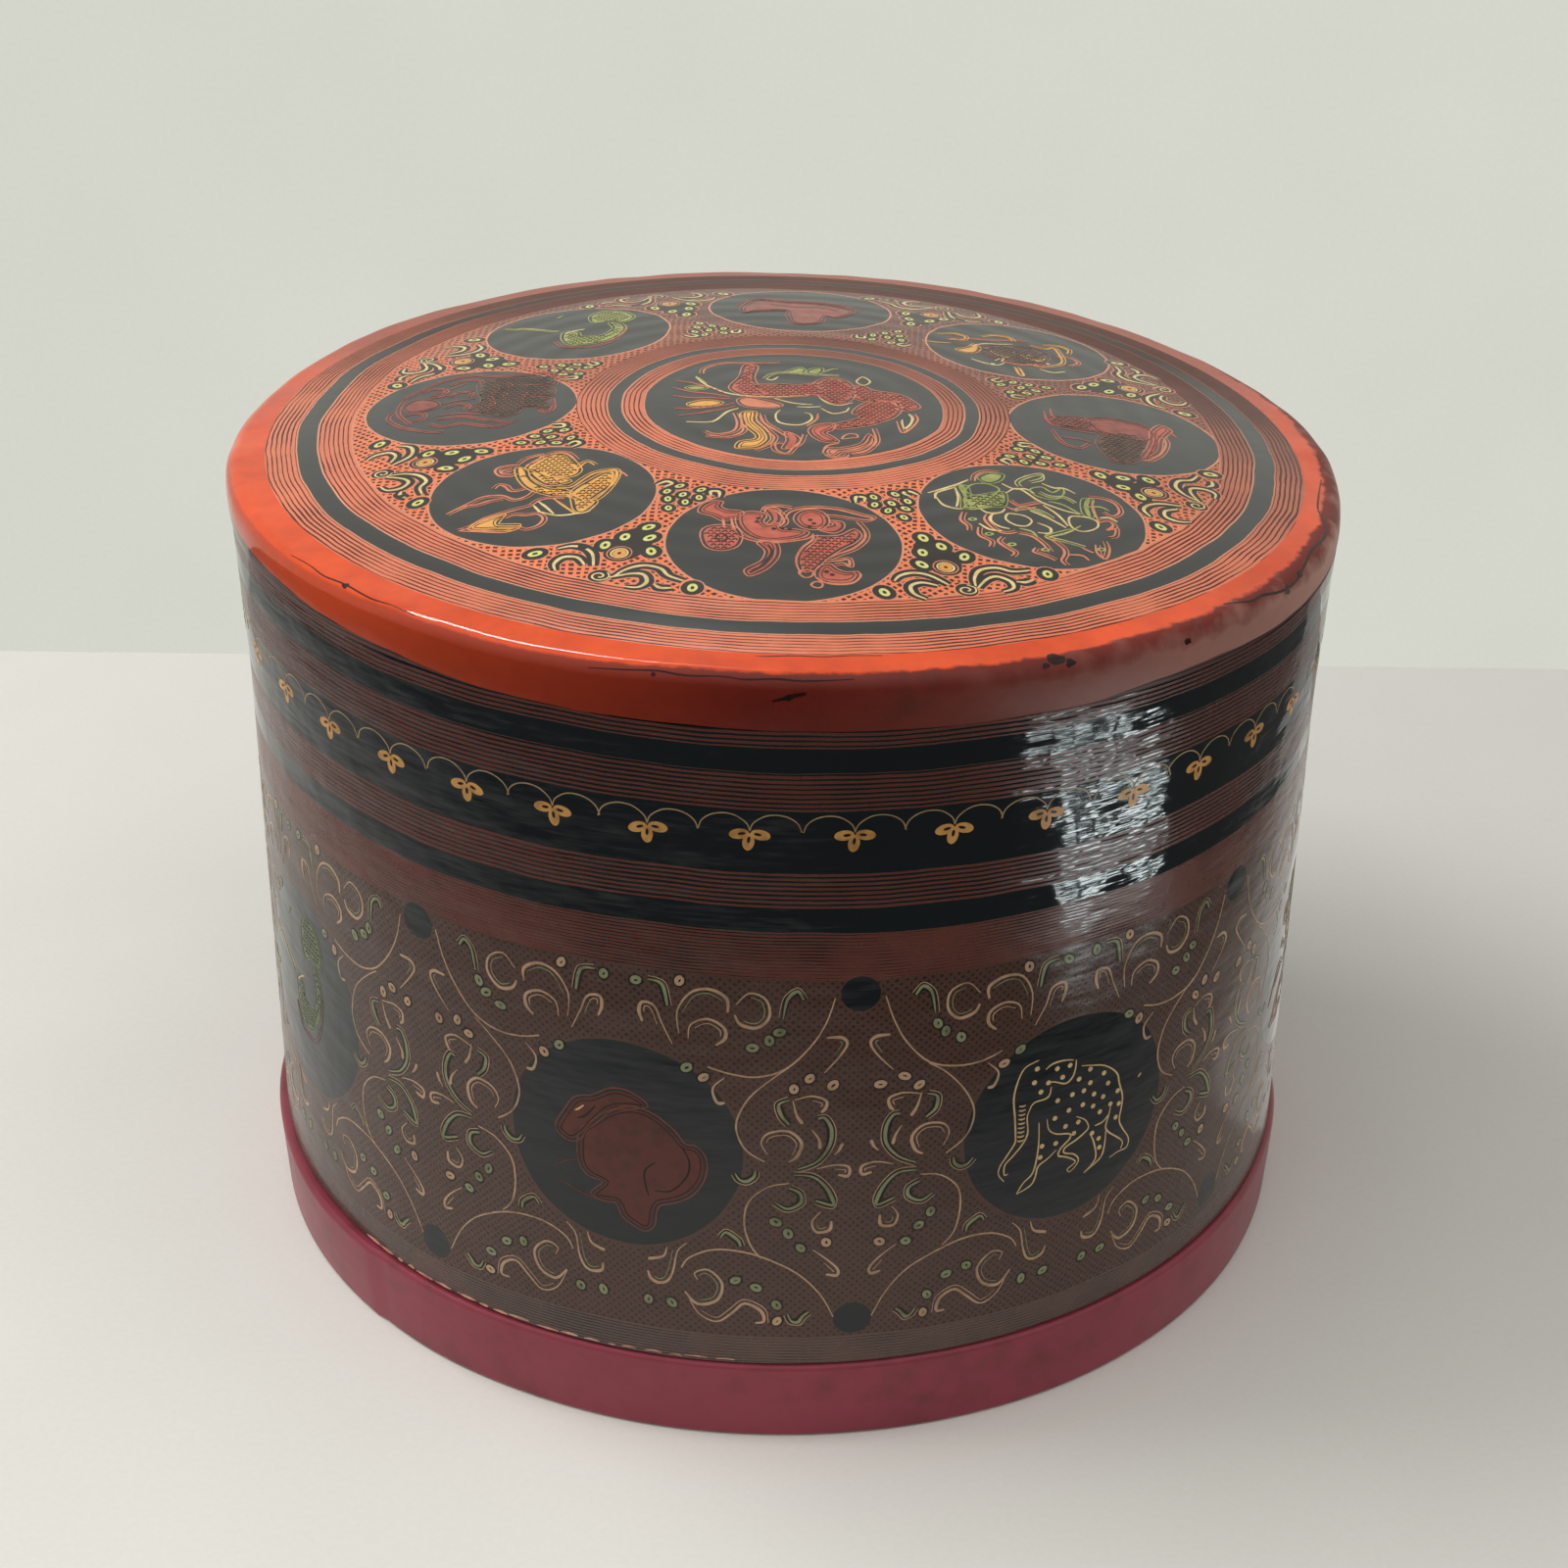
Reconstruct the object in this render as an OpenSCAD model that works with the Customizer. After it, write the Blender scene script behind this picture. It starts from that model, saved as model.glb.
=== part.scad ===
// Round lacquered betel box: a drum-shaped lid that slides down over an inner drum and lands on its foot,
// with two shallow trays stacked inside. Every piece is bent or coiled bamboo under lacquer.
// The box stands on the origin, +Z is up and the axis of the drum is the Z axis.

/* [Lid] */
// Outside diameter of the lid's wall
lid_d = 200; // [150:1:260]
// Thickness of the lid's wall
lid_wall_t = 3; // [2:0.1:5]
// Height of the lid's wall, from its lower edge to the shoulder
lid_wall_h = 124.5; // [105:0.5:180]
// Height of the shoulder hoop above the wall
shoulder_h = 9; // [7:0.5:14]
// How far the shoulder hoop swells past the wall
shoulder_bulge = 0.9; // [0.2:0.1:2]
// Radius of the shoulder's upper edge
shoulder_edge_r = 2.6; // [1:0.1:3.5]
// Width of the shoulder hoop's plain top, from the panel to the wall's outside
shoulder_w = 5.5; // [5:0.1:9]
// Thickness of the domed panel that closes the lid
panel_t = 3.5; // [2:0.1:5]
// Rise of the panel's middle above its edge
dome_rise = 8; // [2:0.5:14]
// Width of the flat seat under the panel's edge
panel_seat_w = 3; // [2:0.1:6]
// Height of the hoop that fills the corner under the panel
corner_hoop_h = 10; // [7:0.5:16]
// Height of the hoop that stiffens the lid's mouth
mouth_hoop_h = 8; // [4:0.5:16]
// Thickness of the hoop that stiffens the lid's mouth
mouth_hoop_t = 1.3; // [0.8:0.1:1.8]

/* [Base] */
// Thickness of the base's wall
base_wall_t = 3; // [2:0.1:5]
// Radial clearance between the lid and the base
lid_fit = 0.7; // [0.4:0.1:1.5]
// Height of the foot band that the lid lands on
foot_h = 16; // [10:0.5:24]
// How far the foot band stands out past the lid's wall at the floor
foot_proud = 0.4; // [0:0.1:3]
// How far the foot band widens from the floor to its upper edge
foot_flare = 0.9; // [0:0.1:2]
// Radius of the foot band's edges
foot_edge_r = 1; // [0.4:0.1:1.6]
// How far the drum's other pieces are held up off the floor
foot_recess = 1; // [0.5:0.1:3]
// Height of the floor disc above the ground
floor_z = 6; // [4:0.5:10]
// Thickness of the floor disc
floor_t = 3.5; // [2:0.1:6]
// Width of the hoop under the floor disc
floor_hoop_w = 6; // [4:0.5:12]
// Width and height of the hoop that fills the corner above the floor disc
corner_w = 3; // [2:0.5:6]
// Height of the rounded hoop on the base's mouth
rim_hoop_h = 4; // [2.5:0.5:8]
// Height of the ledge hoop that carries the trays
ledge_h = 6; // [4.5:0.5:12]

/* [Trays] */
// Height of one tray, from its seat to its rim
tray_h = 32.4; // [24:0.1:38]
// Thickness of a tray's wall
tray_wall_t = 2.6; // [1.8:0.1:4]
// Radial clearance between a tray and the base
tray_fit = 0.7; // [0.4:0.1:1.5]
// How far a tray's rim and the ledge reach inward past the tray's wall
rim_inset = 1.6; // [1:0.1:4]
// Height of a tray's rim hoop
tray_rim_h = 3.6; // [2.5:0.1:6]
// Thickness of a tray's floor disc
tray_floor_t = 3; // [2:0.1:5]
// Height of the ring under a tray that keys into the rim or ledge below
tray_key_h = 2.8; // [1.5:0.1:4]
// Width of that ring
tray_key_w = 3; // [2:0.1:6]
// How far the upper tray stands above the base's mouth, for the fingers
tray_grip = 7.5; // [3:0.5:14]
// Room above the upper tray's rim, below the lid's corner hoop
headroom = 10.5; // [4:0.5:20]

/* [Fits] */
// Gap left between two stacked bodies at their seat
seat_gap = 0.3; // [0.2:0.1:0.6]
// Radius that eases the edges of the hoops
ease_r = 1; // [0.4:0.1:1.2]

/* [Hidden] */
$fn = 180;

// Steps along a quarter circle, along the shoulder's side and along the dome
edge_steps = 8;
side_steps = 8;
dome_steps = 32;

// Lacquer colours
vermilion = [0.80, 0.25, 0.11];
engraved_red = [0.56, 0.22, 0.15];
engraved_brown = [0.30, 0.13, 0.10];
crimson = [0.45, 0.10, 0.18];
inner_red = [0.58, 0.13, 0.08];
black = [0.07, 0.06, 0.06];

// Radii, from the outside in
lid_r = lid_d / 2;
lid_in_r = lid_r - lid_wall_t;
panel_r = lid_r - shoulder_w;
panel_seat_r = panel_r - panel_seat_w;
base_r = lid_in_r - lid_fit;
base_in_r = base_r - base_wall_t;
foot_low_r = lid_r + foot_proud;
foot_top_r = foot_low_r + foot_flare;
tray_r = base_in_r - tray_fit;
tray_in_r = tray_r - tray_wall_t;
seat_r = tray_in_r - rim_inset;
key_r = seat_r - tray_fit;

// Heights, from the floor up
lid_z = foot_h + seat_gap;
shoulder_z = lid_z + lid_wall_h;
crown_z = shoulder_z + shoulder_h;
panel_z = crown_z - panel_t;
corner_z = panel_z - corner_hoop_h;
upper_rim_z = corner_z - headroom;
upper_tray_z = upper_rim_z - tray_h;
lower_tray_z = upper_tray_z - seat_gap - tray_h;
ledge_z = lower_tray_z - seat_gap - ledge_h;
base_h = upper_rim_z - tray_grip;
floor_top_z = floor_z + floor_t;

// Points of an arc about [x, y], from angle a0 to angle a1
function arc(x, y, r, a0, a1, steps) =
    [for (i = [0 : steps]) let (a = a0 + (a1 - a0) * i / steps) [x + r * cos(a), y + r * sin(a)]];

// Height of a shallow dome at radius x, above its edge at radius edge_r
function dome_height(x, edge_r) = dome_rise * (1 - pow(x / edge_r, 2));

// Plain hoop of square section
module hoop(in_r, out_r, low_z, high_z) {
    rotate_extrude()
        translate([in_r, low_z])
            square([out_r - in_r, high_z - low_z]);
}

// Hoop whose two upper edges are eased
module eased_hoop(in_r, out_r, low_z, high_z) {
    rotate_extrude()
        polygon(concat(
            [[in_r, low_z], [out_r, low_z]],
            arc(out_r - ease_r, high_z - ease_r, ease_r, 0, 90, edge_steps),
            arc(in_r + ease_r, high_z - ease_r, ease_r, 90, 180, edge_steps)));
}

// Hoop with its inner edge cut back: at the top where cut_up is true, else at the bottom
module corner_hoop(in_r, out_r, low_z, high_z, cut, cut_up) {
    rotate_extrude()
        polygon(cut_up
            ? [[in_r, low_z], [out_r, low_z], [out_r, high_z], [in_r + cut, high_z], [in_r, high_z - cut]]
            : [[in_r + cut, low_z], [out_r, low_z], [out_r, high_z], [in_r, high_z], [in_r, low_z + cut]]);
}

// Round plate
module disc(r, low_z, high_z) {
    translate([0, 0, low_z])
        cylinder(r = r, h = high_z - low_z);
}

// Crimson band round the bottom of the base, flared up to the edge that the lid lands on
module foot_band() {
    color(crimson)
        rotate_extrude()
            polygon(concat(
                [[base_r, 0]],
                arc(foot_low_r - foot_edge_r, foot_edge_r, foot_edge_r, -90, 0, edge_steps),
                arc(foot_top_r - foot_edge_r, foot_h - foot_edge_r, foot_edge_r, 0, 90, edge_steps),
                [[base_r, foot_h]]));
}

// Inner drum that the lid slides down over
module base_wall() {
    color(crimson)
        hoop(base_in_r, base_r, foot_recess, base_h - rim_hoop_h);
}

// Rounded hoop that finishes the base's mouth
module base_mouth_hoop() {
    color(black)
        eased_hoop(base_in_r, base_r, base_h - rim_hoop_h, base_h);
}

// Coiled disc that floors the base
module base_floor() {
    color(inner_red)
        disc(base_in_r, floor_z, floor_top_z);
}

// Hoop under the floor disc, inside the foot
module base_floor_hoop() {
    color(black)
        hoop(base_in_r - floor_hoop_w, base_in_r, foot_recess, floor_z);
}

// Sloped hoop that locks the floor disc down in its corner
module base_corner_hoop() {
    color(inner_red)
        corner_hoop(base_in_r - corner_w, base_in_r, floor_top_z, floor_top_z + corner_w, corner_w / 2, true);
}

// Hoop inside the base that the lower tray sits on
module tray_ledge() {
    color(inner_red)
        corner_hoop(seat_r, base_in_r, ledge_z, ledge_z + ledge_h, rim_inset, false);
}

// Bent wall of a tray that sits at height z
module tray_wall(z) {
    color(inner_red)
        hoop(tray_in_r, tray_r, z, z + tray_h - tray_rim_h);
}

// Coiled floor inside a tray's wall
module tray_floor(z) {
    color(inner_red)
        disc(tray_in_r, z, z + tray_floor_t);
}

// Rim hoop on a tray's wall, wide enough to carry the tray above
module tray_rim(z) {
    color(black)
        eased_hoop(seat_r, tray_r, z + tray_h - tray_rim_h, z + tray_h);
}

// Ring under a tray's floor that keys into the seat below
module tray_key(z) {
    color(black)
        hoop(key_r - tray_key_w, key_r, z - tray_key_h, z);
}

// Tall decorated wall of the lid, rebated inside its mouth for the stiffening hoop
module lid_wall() {
    color(engraved_brown)
        rotate_extrude()
            polygon([
                [lid_in_r + mouth_hoop_t, lid_z],
                [lid_r, lid_z],
                [lid_r, shoulder_z],
                [lid_in_r, shoulder_z],
                [lid_in_r, lid_z + mouth_hoop_h],
                [lid_in_r + mouth_hoop_t, lid_z + mouth_hoop_h]
            ]);
}

// Thin hoop let into the lid's mouth
module lid_mouth_hoop() {
    color(black)
        hoop(lid_in_r, lid_in_r + mouth_hoop_t, lid_z, lid_z + mouth_hoop_h);
}

// Hoop inside the lid that ties the wall, the shoulder and the panel together
module lid_corner_hoop() {
    color(inner_red)
        corner_hoop(panel_seat_r, lid_in_r, corner_z, panel_z, lid_in_r - panel_r, false);
}

// Vermilion hoop that swells a little past the wall and rounds over to the panel
module lid_shoulder_hoop() {
    edge_x = lid_r + shoulder_bulge - shoulder_edge_r;
    edge_z = crown_z + dome_height(edge_x, panel_r) - shoulder_edge_r;
    color(vermilion)
        rotate_extrude()
            polygon(concat(
                [[lid_in_r, shoulder_z]],
                [for (i = [0 : side_steps - 1])
                    let (t = i / side_steps)
                    [lid_r + shoulder_bulge * sin(90 * t), shoulder_z + (edge_z - shoulder_z) * t]],
                arc(edge_x, edge_z, shoulder_edge_r, 0, 90, edge_steps),
                [[panel_r, crown_z], [panel_r, panel_z], [lid_in_r, panel_z]]));
}

// Coiled and domed panel that closes the lid
module lid_panel() {
    color(engraved_red)
        rotate_extrude()
            polygon(concat(
                [for (i = [0 : dome_steps])
                    let (x = panel_r * i / dome_steps)
                    [x, crown_z + dome_height(x, panel_r)]],
                [[panel_r, panel_z]],
                [for (i = [dome_steps : -1 : 0])
                    let (x = panel_seat_r * i / dome_steps)
                    [x, panel_z + dome_height(x, panel_seat_r)]]));
}

foot_band();
base_wall();
base_mouth_hoop();
base_floor();
base_floor_hoop();
base_corner_hoop();
tray_ledge();
tray_wall(lower_tray_z);  // lower_tray_wall
tray_floor(lower_tray_z);  // lower_tray_floor
tray_rim(lower_tray_z);  // lower_tray_rim
tray_key(lower_tray_z);  // lower_tray_key
tray_wall(upper_tray_z);  // upper_tray_wall
tray_floor(upper_tray_z);  // upper_tray_floor
tray_rim(upper_tray_z);  // upper_tray_rim
tray_key(upper_tray_z);  // upper_tray_key
lid_wall();
lid_mouth_hoop();
lid_corner_hoop();
lid_shoulder_hoop();
lid_panel();
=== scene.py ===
# A round lacquer betel box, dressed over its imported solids. Sizes are in millimetres and turned to metres
# at the last step. Turns are measured from the front of the box, growing towards its right side.
import cmath
import math
import random

import bmesh
import bpy
from mathutils import Matrix, Vector, geometry, noise


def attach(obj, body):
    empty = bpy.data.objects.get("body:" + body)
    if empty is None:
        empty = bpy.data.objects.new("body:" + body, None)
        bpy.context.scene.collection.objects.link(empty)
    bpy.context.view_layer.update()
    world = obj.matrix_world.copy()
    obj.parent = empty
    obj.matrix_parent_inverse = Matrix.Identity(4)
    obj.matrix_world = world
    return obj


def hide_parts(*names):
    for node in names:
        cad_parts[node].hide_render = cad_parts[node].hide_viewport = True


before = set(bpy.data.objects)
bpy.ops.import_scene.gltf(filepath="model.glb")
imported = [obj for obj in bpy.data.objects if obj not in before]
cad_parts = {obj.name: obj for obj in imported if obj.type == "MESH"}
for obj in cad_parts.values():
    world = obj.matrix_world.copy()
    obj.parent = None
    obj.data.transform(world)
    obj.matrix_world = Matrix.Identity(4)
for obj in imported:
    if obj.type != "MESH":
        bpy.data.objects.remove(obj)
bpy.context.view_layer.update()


# Foot band
# The crimson band that the lid lands on: a strip of split bamboo wound once round the foot of the drum,
# packed with putty and lacquered. Its ends lap at the front left, where the outer one stands proud.
MM = 0.001
FOOT_LOW_R = 100.4
FOOT_TOP_R = 101.3
FOOT_H = 16
FOOT_EASE = 1
DRUM_R = 96.3
LAP_TURN = math.radians(-47)
LAP_STEP = 0.5
FOOT_UNEVEN = 0.3
AROUND = 288


def ink(red, green, blue):
    """A lacquer colour from its 0 to 255 screen values."""
    linear = [((part / 255 + 0.055) / 1.055) ** 2.4 for part in (red, green, blue)]
    return (*linear, 1)


def arc(x, y, radius, start, end, steps=8):
    """Points of a circle's arc between two angles in degrees."""
    angles = [math.radians(start + (end - start) * i / steps) for i in range(steps + 1)]
    return [(x + radius * math.cos(a), y + radius * math.sin(a)) for a in angles]


def polar(radius, turn, height):
    """A point at this radius, turn from the front and height."""
    return Vector((radius * math.sin(turn), -radius * math.cos(turn), height))


def turned(name, outline, shift):
    """A ring or disc turned from a closed outline of radius and height. shift moves each point of the true
    form to its place on this hand-made one; the true place is kept for the material to read."""
    work = bmesh.new()
    true_place = work.verts.layers.float_vector.new("true_place")
    rings = []
    for radius, height in outline:
        ring = []
        for i in range(AROUND if radius else 1):
            point = polar(radius, math.tau * i / AROUND, height)
            corner = work.verts.new(shift(point) * MM)
            corner[true_place] = point
            ring.append(corner)
        rings.append(ring * (AROUND // len(ring)))
    for ring, following in zip(rings, rings[1:] + rings[:1]):
        for i in range(AROUND):
            corners = [ring[i - 1], ring[i], following[i], following[i - 1]]
            corners = list(dict.fromkeys(corners))
            if len(corners) > 2:
                work.faces.new(corners)
    bmesh.ops.recalc_face_normals(work, faces=work.faces)
    return shown(name, work)


def shown(name, work):
    """The finished mesh as an object in the scene, smooth except at its edges."""
    mesh = bpy.data.meshes.new(name)
    work.to_mesh(mesh)
    work.free()
    mesh.polygons.foreach_set("use_smooth", [True] * len(mesh.polygons))
    mesh.set_sharp_from_angle(angle=math.radians(35))
    piece = bpy.data.objects.new(name, mesh)
    bpy.context.scene.collection.objects.link(piece)
    return piece


def feed(tree, port, value):
    """Give a shader socket a value, or wire a field or another socket to it."""
    if isinstance(value, Field):
        tree.links.new(value.socket, port)
    elif isinstance(value, bpy.types.NodeSocket):
        tree.links.new(value, port)
    else:
        port.default_value = value


class Field:
    """A number that changes over a surface, so that shader maths reads as arithmetic."""

    def __init__(self, tree, socket):
        self.tree = tree
        self.socket = socket

    def calc(self, operation, *others):
        """The field that one shader maths step makes of this one and others."""
        step = self.tree.nodes.new("ShaderNodeMath")
        step.operation = operation
        for port, term in zip(step.inputs, (self, *others)):
            feed(self.tree, port, term)
        return Field(self.tree, step.outputs[0])

    def __add__(self, other):
        return self.calc("ADD", other)

    def __sub__(self, other):
        return self.calc("SUBTRACT", other)

    def __mul__(self, other):
        return self.calc("MULTIPLY", other)

    def __truediv__(self, other):
        return self.calc("DIVIDE", other)

    def below(self, limit):
        return self.calc("LESS_THAN", limit)

    def above(self, limit):
        return self.calc("GREATER_THAN", limit)

    def within(self, low, high):
        return self.calc("COMPARE", (low + high) / 2, (high - low) / 2)

    def or_else(self, other):
        return self.calc("MAXIMUM", other)

    def within_any(self, spans):
        """1 inside any of these spans of low and high."""
        found, *others = [self.within(*span) for span in spans]
        for other in others:
            found = found.or_else(other)
        return found

    def clamped(self, high=1):
        """The field held between zero and this limit."""
        return self.calc("MAXIMUM", 0).calc("MINIMUM", high)

    def flipped(self):
        """1 where the field is 0, and 0 where it is 1."""
        return self * -1 + 1

    def folded(self, span):
        """The same field folded into one repeat of this span, centred on zero."""
        return self.calc("WRAP", span / 2, -span / 2)

    def length_with(self, other):
        return (self * self + other * other).calc("SQRT")


def object_place(tree):
    """Where a point is on its piece, as a vector in millimetres."""
    source = tree.nodes.new("ShaderNodeTexCoord")
    scale = tree.nodes.new("ShaderNodeVectorMath")
    scale.operation = "SCALE"
    scale.inputs["Scale"].default_value = 1 / MM
    tree.links.new(source.outputs["Object"], scale.inputs[0])
    return scale.outputs[0]


def cloud(tree, place, size, detail=2):
    """Soft cloudy change between about -0.5 and 0.5, in patches of about this size."""
    step = tree.nodes.new("ShaderNodeTexNoise")
    step.inputs["Scale"].default_value = 1 / size
    step.inputs["Detail"].default_value = detail
    feed(tree, step.inputs["Vector"], place)
    return Field(tree, step.outputs["Fac"]) - 0.5


def stretched(tree, place, factors):
    """A place vector squeezed along its axes, to draw patches out into streaks."""
    step = tree.nodes.new("ShaderNodeVectorMath")
    step.operation = "MULTIPLY"
    step.inputs[1].default_value = factors
    feed(tree, step.inputs[0], place)
    return step.outputs[0]


def painted(under, over, mask):
    """One colour laid over another where the mask is 1."""
    step = mask.tree.nodes.new("ShaderNodeMix")
    step.data_type = "RGBA"
    feed(mask.tree, step.inputs[0], mask)
    feed(mask.tree, step.inputs[6], under)
    feed(mask.tree, step.inputs[7], over)
    return step.outputs[2]


def shader_group(name, inputs, outputs):
    """An empty shader node group with these named numbers in and out, as a tree and fields for its inputs."""
    tree = bpy.data.node_groups.new(name, "ShaderNodeTree")
    for label, value in inputs.items():
        tree.interface.new_socket(label, in_out="INPUT", socket_type="NodeSocketFloat").default_value = value
    for label in outputs:
        tree.interface.new_socket(label, in_out="OUTPUT", socket_type="NodeSocketFloat")
    entry = tree.nodes.new("NodeGroupInput")
    return tree, {label: Field(tree, entry.outputs[label]) for label in inputs}


def group_gives(tree, **results):
    """Wire the fields that a shader node group puts out."""
    leave = tree.nodes.new("NodeGroupOutput")
    for label, field in results.items():
        feed(tree, leave.inputs[label], field)


def use_group(tree, made, **values):
    """Place a shader node group in a material; gives a field for each of its outputs."""
    step = tree.nodes.new("ShaderNodeGroup")
    step.node_tree = made
    for label, value in values.items():
        feed(tree, step.inputs[label], value)
    return {port.name: Field(tree, port) for port in step.outputs}


# The skin that hand-laid lacquer dries to: low lumps, fine brush streaks, uneven gloss and tone.
skin, skin_in = shader_group(
    "lacquer_skin", {"Lumps": 0.06, "Roughness": 0.2}, ["Height", "Roughness", "Tone"]
)
skin_place = object_place(skin)
skin_streaks = cloud(skin, stretched(skin, skin_place, (0.08, 0.08, 1)), 1.1)
skin_ripples = cloud(skin, stretched(skin, skin_place, (0.3, 0.3, 1)), 4)
skin_gloss = cloud(skin, skin_place, 7, 4)
group_gives(
    skin,
    Height=(cloud(skin, skin_place, 11) + skin_ripples * 0.65 + skin_streaks * 0.12) * skin_in["Lumps"],
    Roughness=skin_in["Roughness"] + skin_gloss * 0.1,
    Tone=cloud(skin, skin_place, 30) * 0.35 + cloud(skin, skin_place, 2.5, 4) * 0.22 + 1,
)


def lacquered(name, paint, lumps=0.06, roughness=0.2, shine=0.5):
    """A lacquer finish. paint gives the colour, how far each point stands up in millimetres, and how much
    rougher it is than the rest."""
    material = bpy.data.materials.new(name)
    material.use_nodes = True
    tree = material.node_tree
    coat = use_group(tree, skin, Lumps=lumps, Roughness=roughness)
    colour, relief, matt = paint(tree)
    tone = tree.nodes.new("ShaderNodeHueSaturation")
    feed(tree, tone.inputs["Color"], colour)
    feed(tree, tone.inputs["Value"], coat["Tone"])
    bump = tree.nodes.new("ShaderNodeBump")
    bump.inputs["Distance"].default_value = MM
    feed(tree, bump.inputs["Height"], coat["Height"] + relief)
    shader = tree.nodes["Principled BSDF"]
    shader.inputs["IOR"].default_value = 1.54
    shader.inputs["Specular IOR Level"].default_value = shine
    feed(tree, shader.inputs["Base Color"], tone.outputs["Color"])
    feed(tree, shader.inputs["Roughness"], coat["Roughness"] + matt)
    feed(tree, shader.inputs["Normal"], bump.outputs["Normal"])
    return material


CRIMSON = ink(140, 48, 66)
CRIMSON_WORN = ink(112, 40, 46)


def crimson_paint(tree):
    """Crimson lacquer, rubbed browner in patches."""
    place = object_place(tree)
    wear_and_sheen = (cloud(tree, place, 6, 5) * 3 + cloud(tree, place, 40) * 2).calc("SMOOTH_MIN", 1, 0.2)
    return painted(CRIMSON, CRIMSON_WORN, wear_and_sheen.calc("MAXIMUM", 0)), cloud(tree, place, 0.9) * 0.01, 0


def wound(point):
    """The foot band's spiral: its outside rises by the lap's step on one turn."""
    radius = math.hypot(point.x, point.y)
    turn = math.atan2(point.x, -point.y)
    outward = max(0, (radius - DRUM_R) / (FOOT_TOP_R - DRUM_R))
    proud = LAP_STEP * ((turn - LAP_TURN) / math.tau % 1 - 0.5)
    uneven = FOOT_UNEVEN * noise.noise(point * 0.035)
    return polar(radius + outward * (proud + uneven), turn, point.z)


foot_outline = [
    (DRUM_R, 0),
    *arc(FOOT_LOW_R - FOOT_EASE, FOOT_EASE, FOOT_EASE, -90, 0),
    *arc(FOOT_TOP_R - FOOT_EASE, FOOT_H - FOOT_EASE, FOOT_EASE, 0, 90),
    (DRUM_R, FOOT_H),
]
crimson_lacquer = lacquered("crimson_lacquer", crimson_paint, lumps=0.09, roughness=0.34, shine=0.4)
foot = turned("wound_foot_band", foot_outline, wound)
foot.data.materials.append(crimson_lacquer)
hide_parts("foot_band")
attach(foot, "base")


# Drum
# The drum that the lid slides down over: a bent bamboo wall on a coiled floor, with hoops that lock the
# floor, carry the trays and round the mouth. The outside is crimson, the inside red and the hoops black.
INNER_RED = ink(158, 50, 32)
INNER_RED_DEEP = ink(112, 32, 24)
BLACK = ink(28, 29, 30)
BLACK_BROWN = ink(44, 34, 30)


def red_paint(tree):
    """Red lacquer inside the box, deeper where it pooled."""
    place = object_place(tree)
    colour = painted(INNER_RED, INNER_RED_DEEP, cloud(tree, place, 14, 5) + 0.4)
    return colour, cloud(tree, place, 1.2) * 0.01, 0


def black_paint(tree):
    """Black lacquer, thinned to brown here and there."""
    place = object_place(tree)
    colour = painted(BLACK, BLACK_BROWN, cloud(tree, place, 5, 4) + 0.35)
    return colour, cloud(tree, place, 1.2) * 0.01, 0


def dress(node, material):
    """Give a carried-over solid its finish."""
    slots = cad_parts[node].data.materials
    slots.clear()
    slots.append(material)


red_lacquer = lacquered("inner_red_lacquer", red_paint, lumps=0.08, roughness=0.24)
black_lacquer = lacquered("black_lacquer", black_paint, lumps=0.05, roughness=0.2)
dress("base_wall", crimson_lacquer)
for node in ("base_floor", "base_corner_hoop", "tray_ledge"):
    dress(node, red_lacquer)
for node in ("base_mouth_hoop", "base_floor_hoop"):
    dress(node, black_lacquer)


# Trays
# Two shallow trays that stack in the drum: bent walls and coiled floors in red lacquer, with black rims
# and with black keys under the floors.
for tray in ("lower_tray", "upper_tray"):
    dress(tray + "_wall", red_lacquer)
    dress(tray + "_floor", red_lacquer)
    dress(tray + "_rim", black_lacquer)
    dress(tray + "_key", black_lacquer)


# Lid wall
# The tall wall of the lid: bamboo bent round and wound, under black lacquer cut with bands of fine lines,
# a garland band, and a wide frieze with a netted ground and black roundels, filled with brown-red.
LID_R = 100
LID_IN_R = 97
LID_Z = 16.3
SHOULDER_Z = 140.8
CROWN_Z = 149.8
MOUTH_HOOP_R = 98.3
MOUTH_HOOP_Z = 24.3
LEAN_X = -0.0195
LEAN_Y = 0.0189
FLARE = 1.2
FLARE_Z = 112
TWO_LOBES = 0.18
THREE_LOBES = 0.12
WARP_FRONT = 0.5
WARP_SIDES = 0.95
WARP_DROP = 0.45
WALL_BLACK = ink(16, 24, 28)
WALL_RED = ink(100, 49, 37)
WALL_LOW = ink(92, 69, 60)
WALL_NET = ink(80, 51, 41)
WALL_DEEP = ink(44, 32, 27)
ROUNDEL_COUNT = 8
ROUNDEL_SPAN = math.tau * LID_R / ROUNDEL_COUNT
ROUNDEL_TURN = math.radians(-15)
ROUNDEL_Z = 60
ROUNDEL_R = 20.5
ROUNDEL_RIM = 0.5
DOT_TURN = math.radians(7.6)
DOT_R = 3.3
DOT_HEIGHTS = (92.3, 26)
LINED_BANDS = ((137.8, 141), (126.5, 133.4), (108.3, 115.2))
PLAIN_BAND = (95.1, 103.8)
FRIEZE_BAND = (22.1, 95.1)
LOW_BAND = (10, 22.1)
LINE_PITCH = 0.86
FINE_PITCH = 0.62
NET_CELL = 1.5
CUT_DEPTH = 0.018
WALL_STEPS = 24


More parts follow.
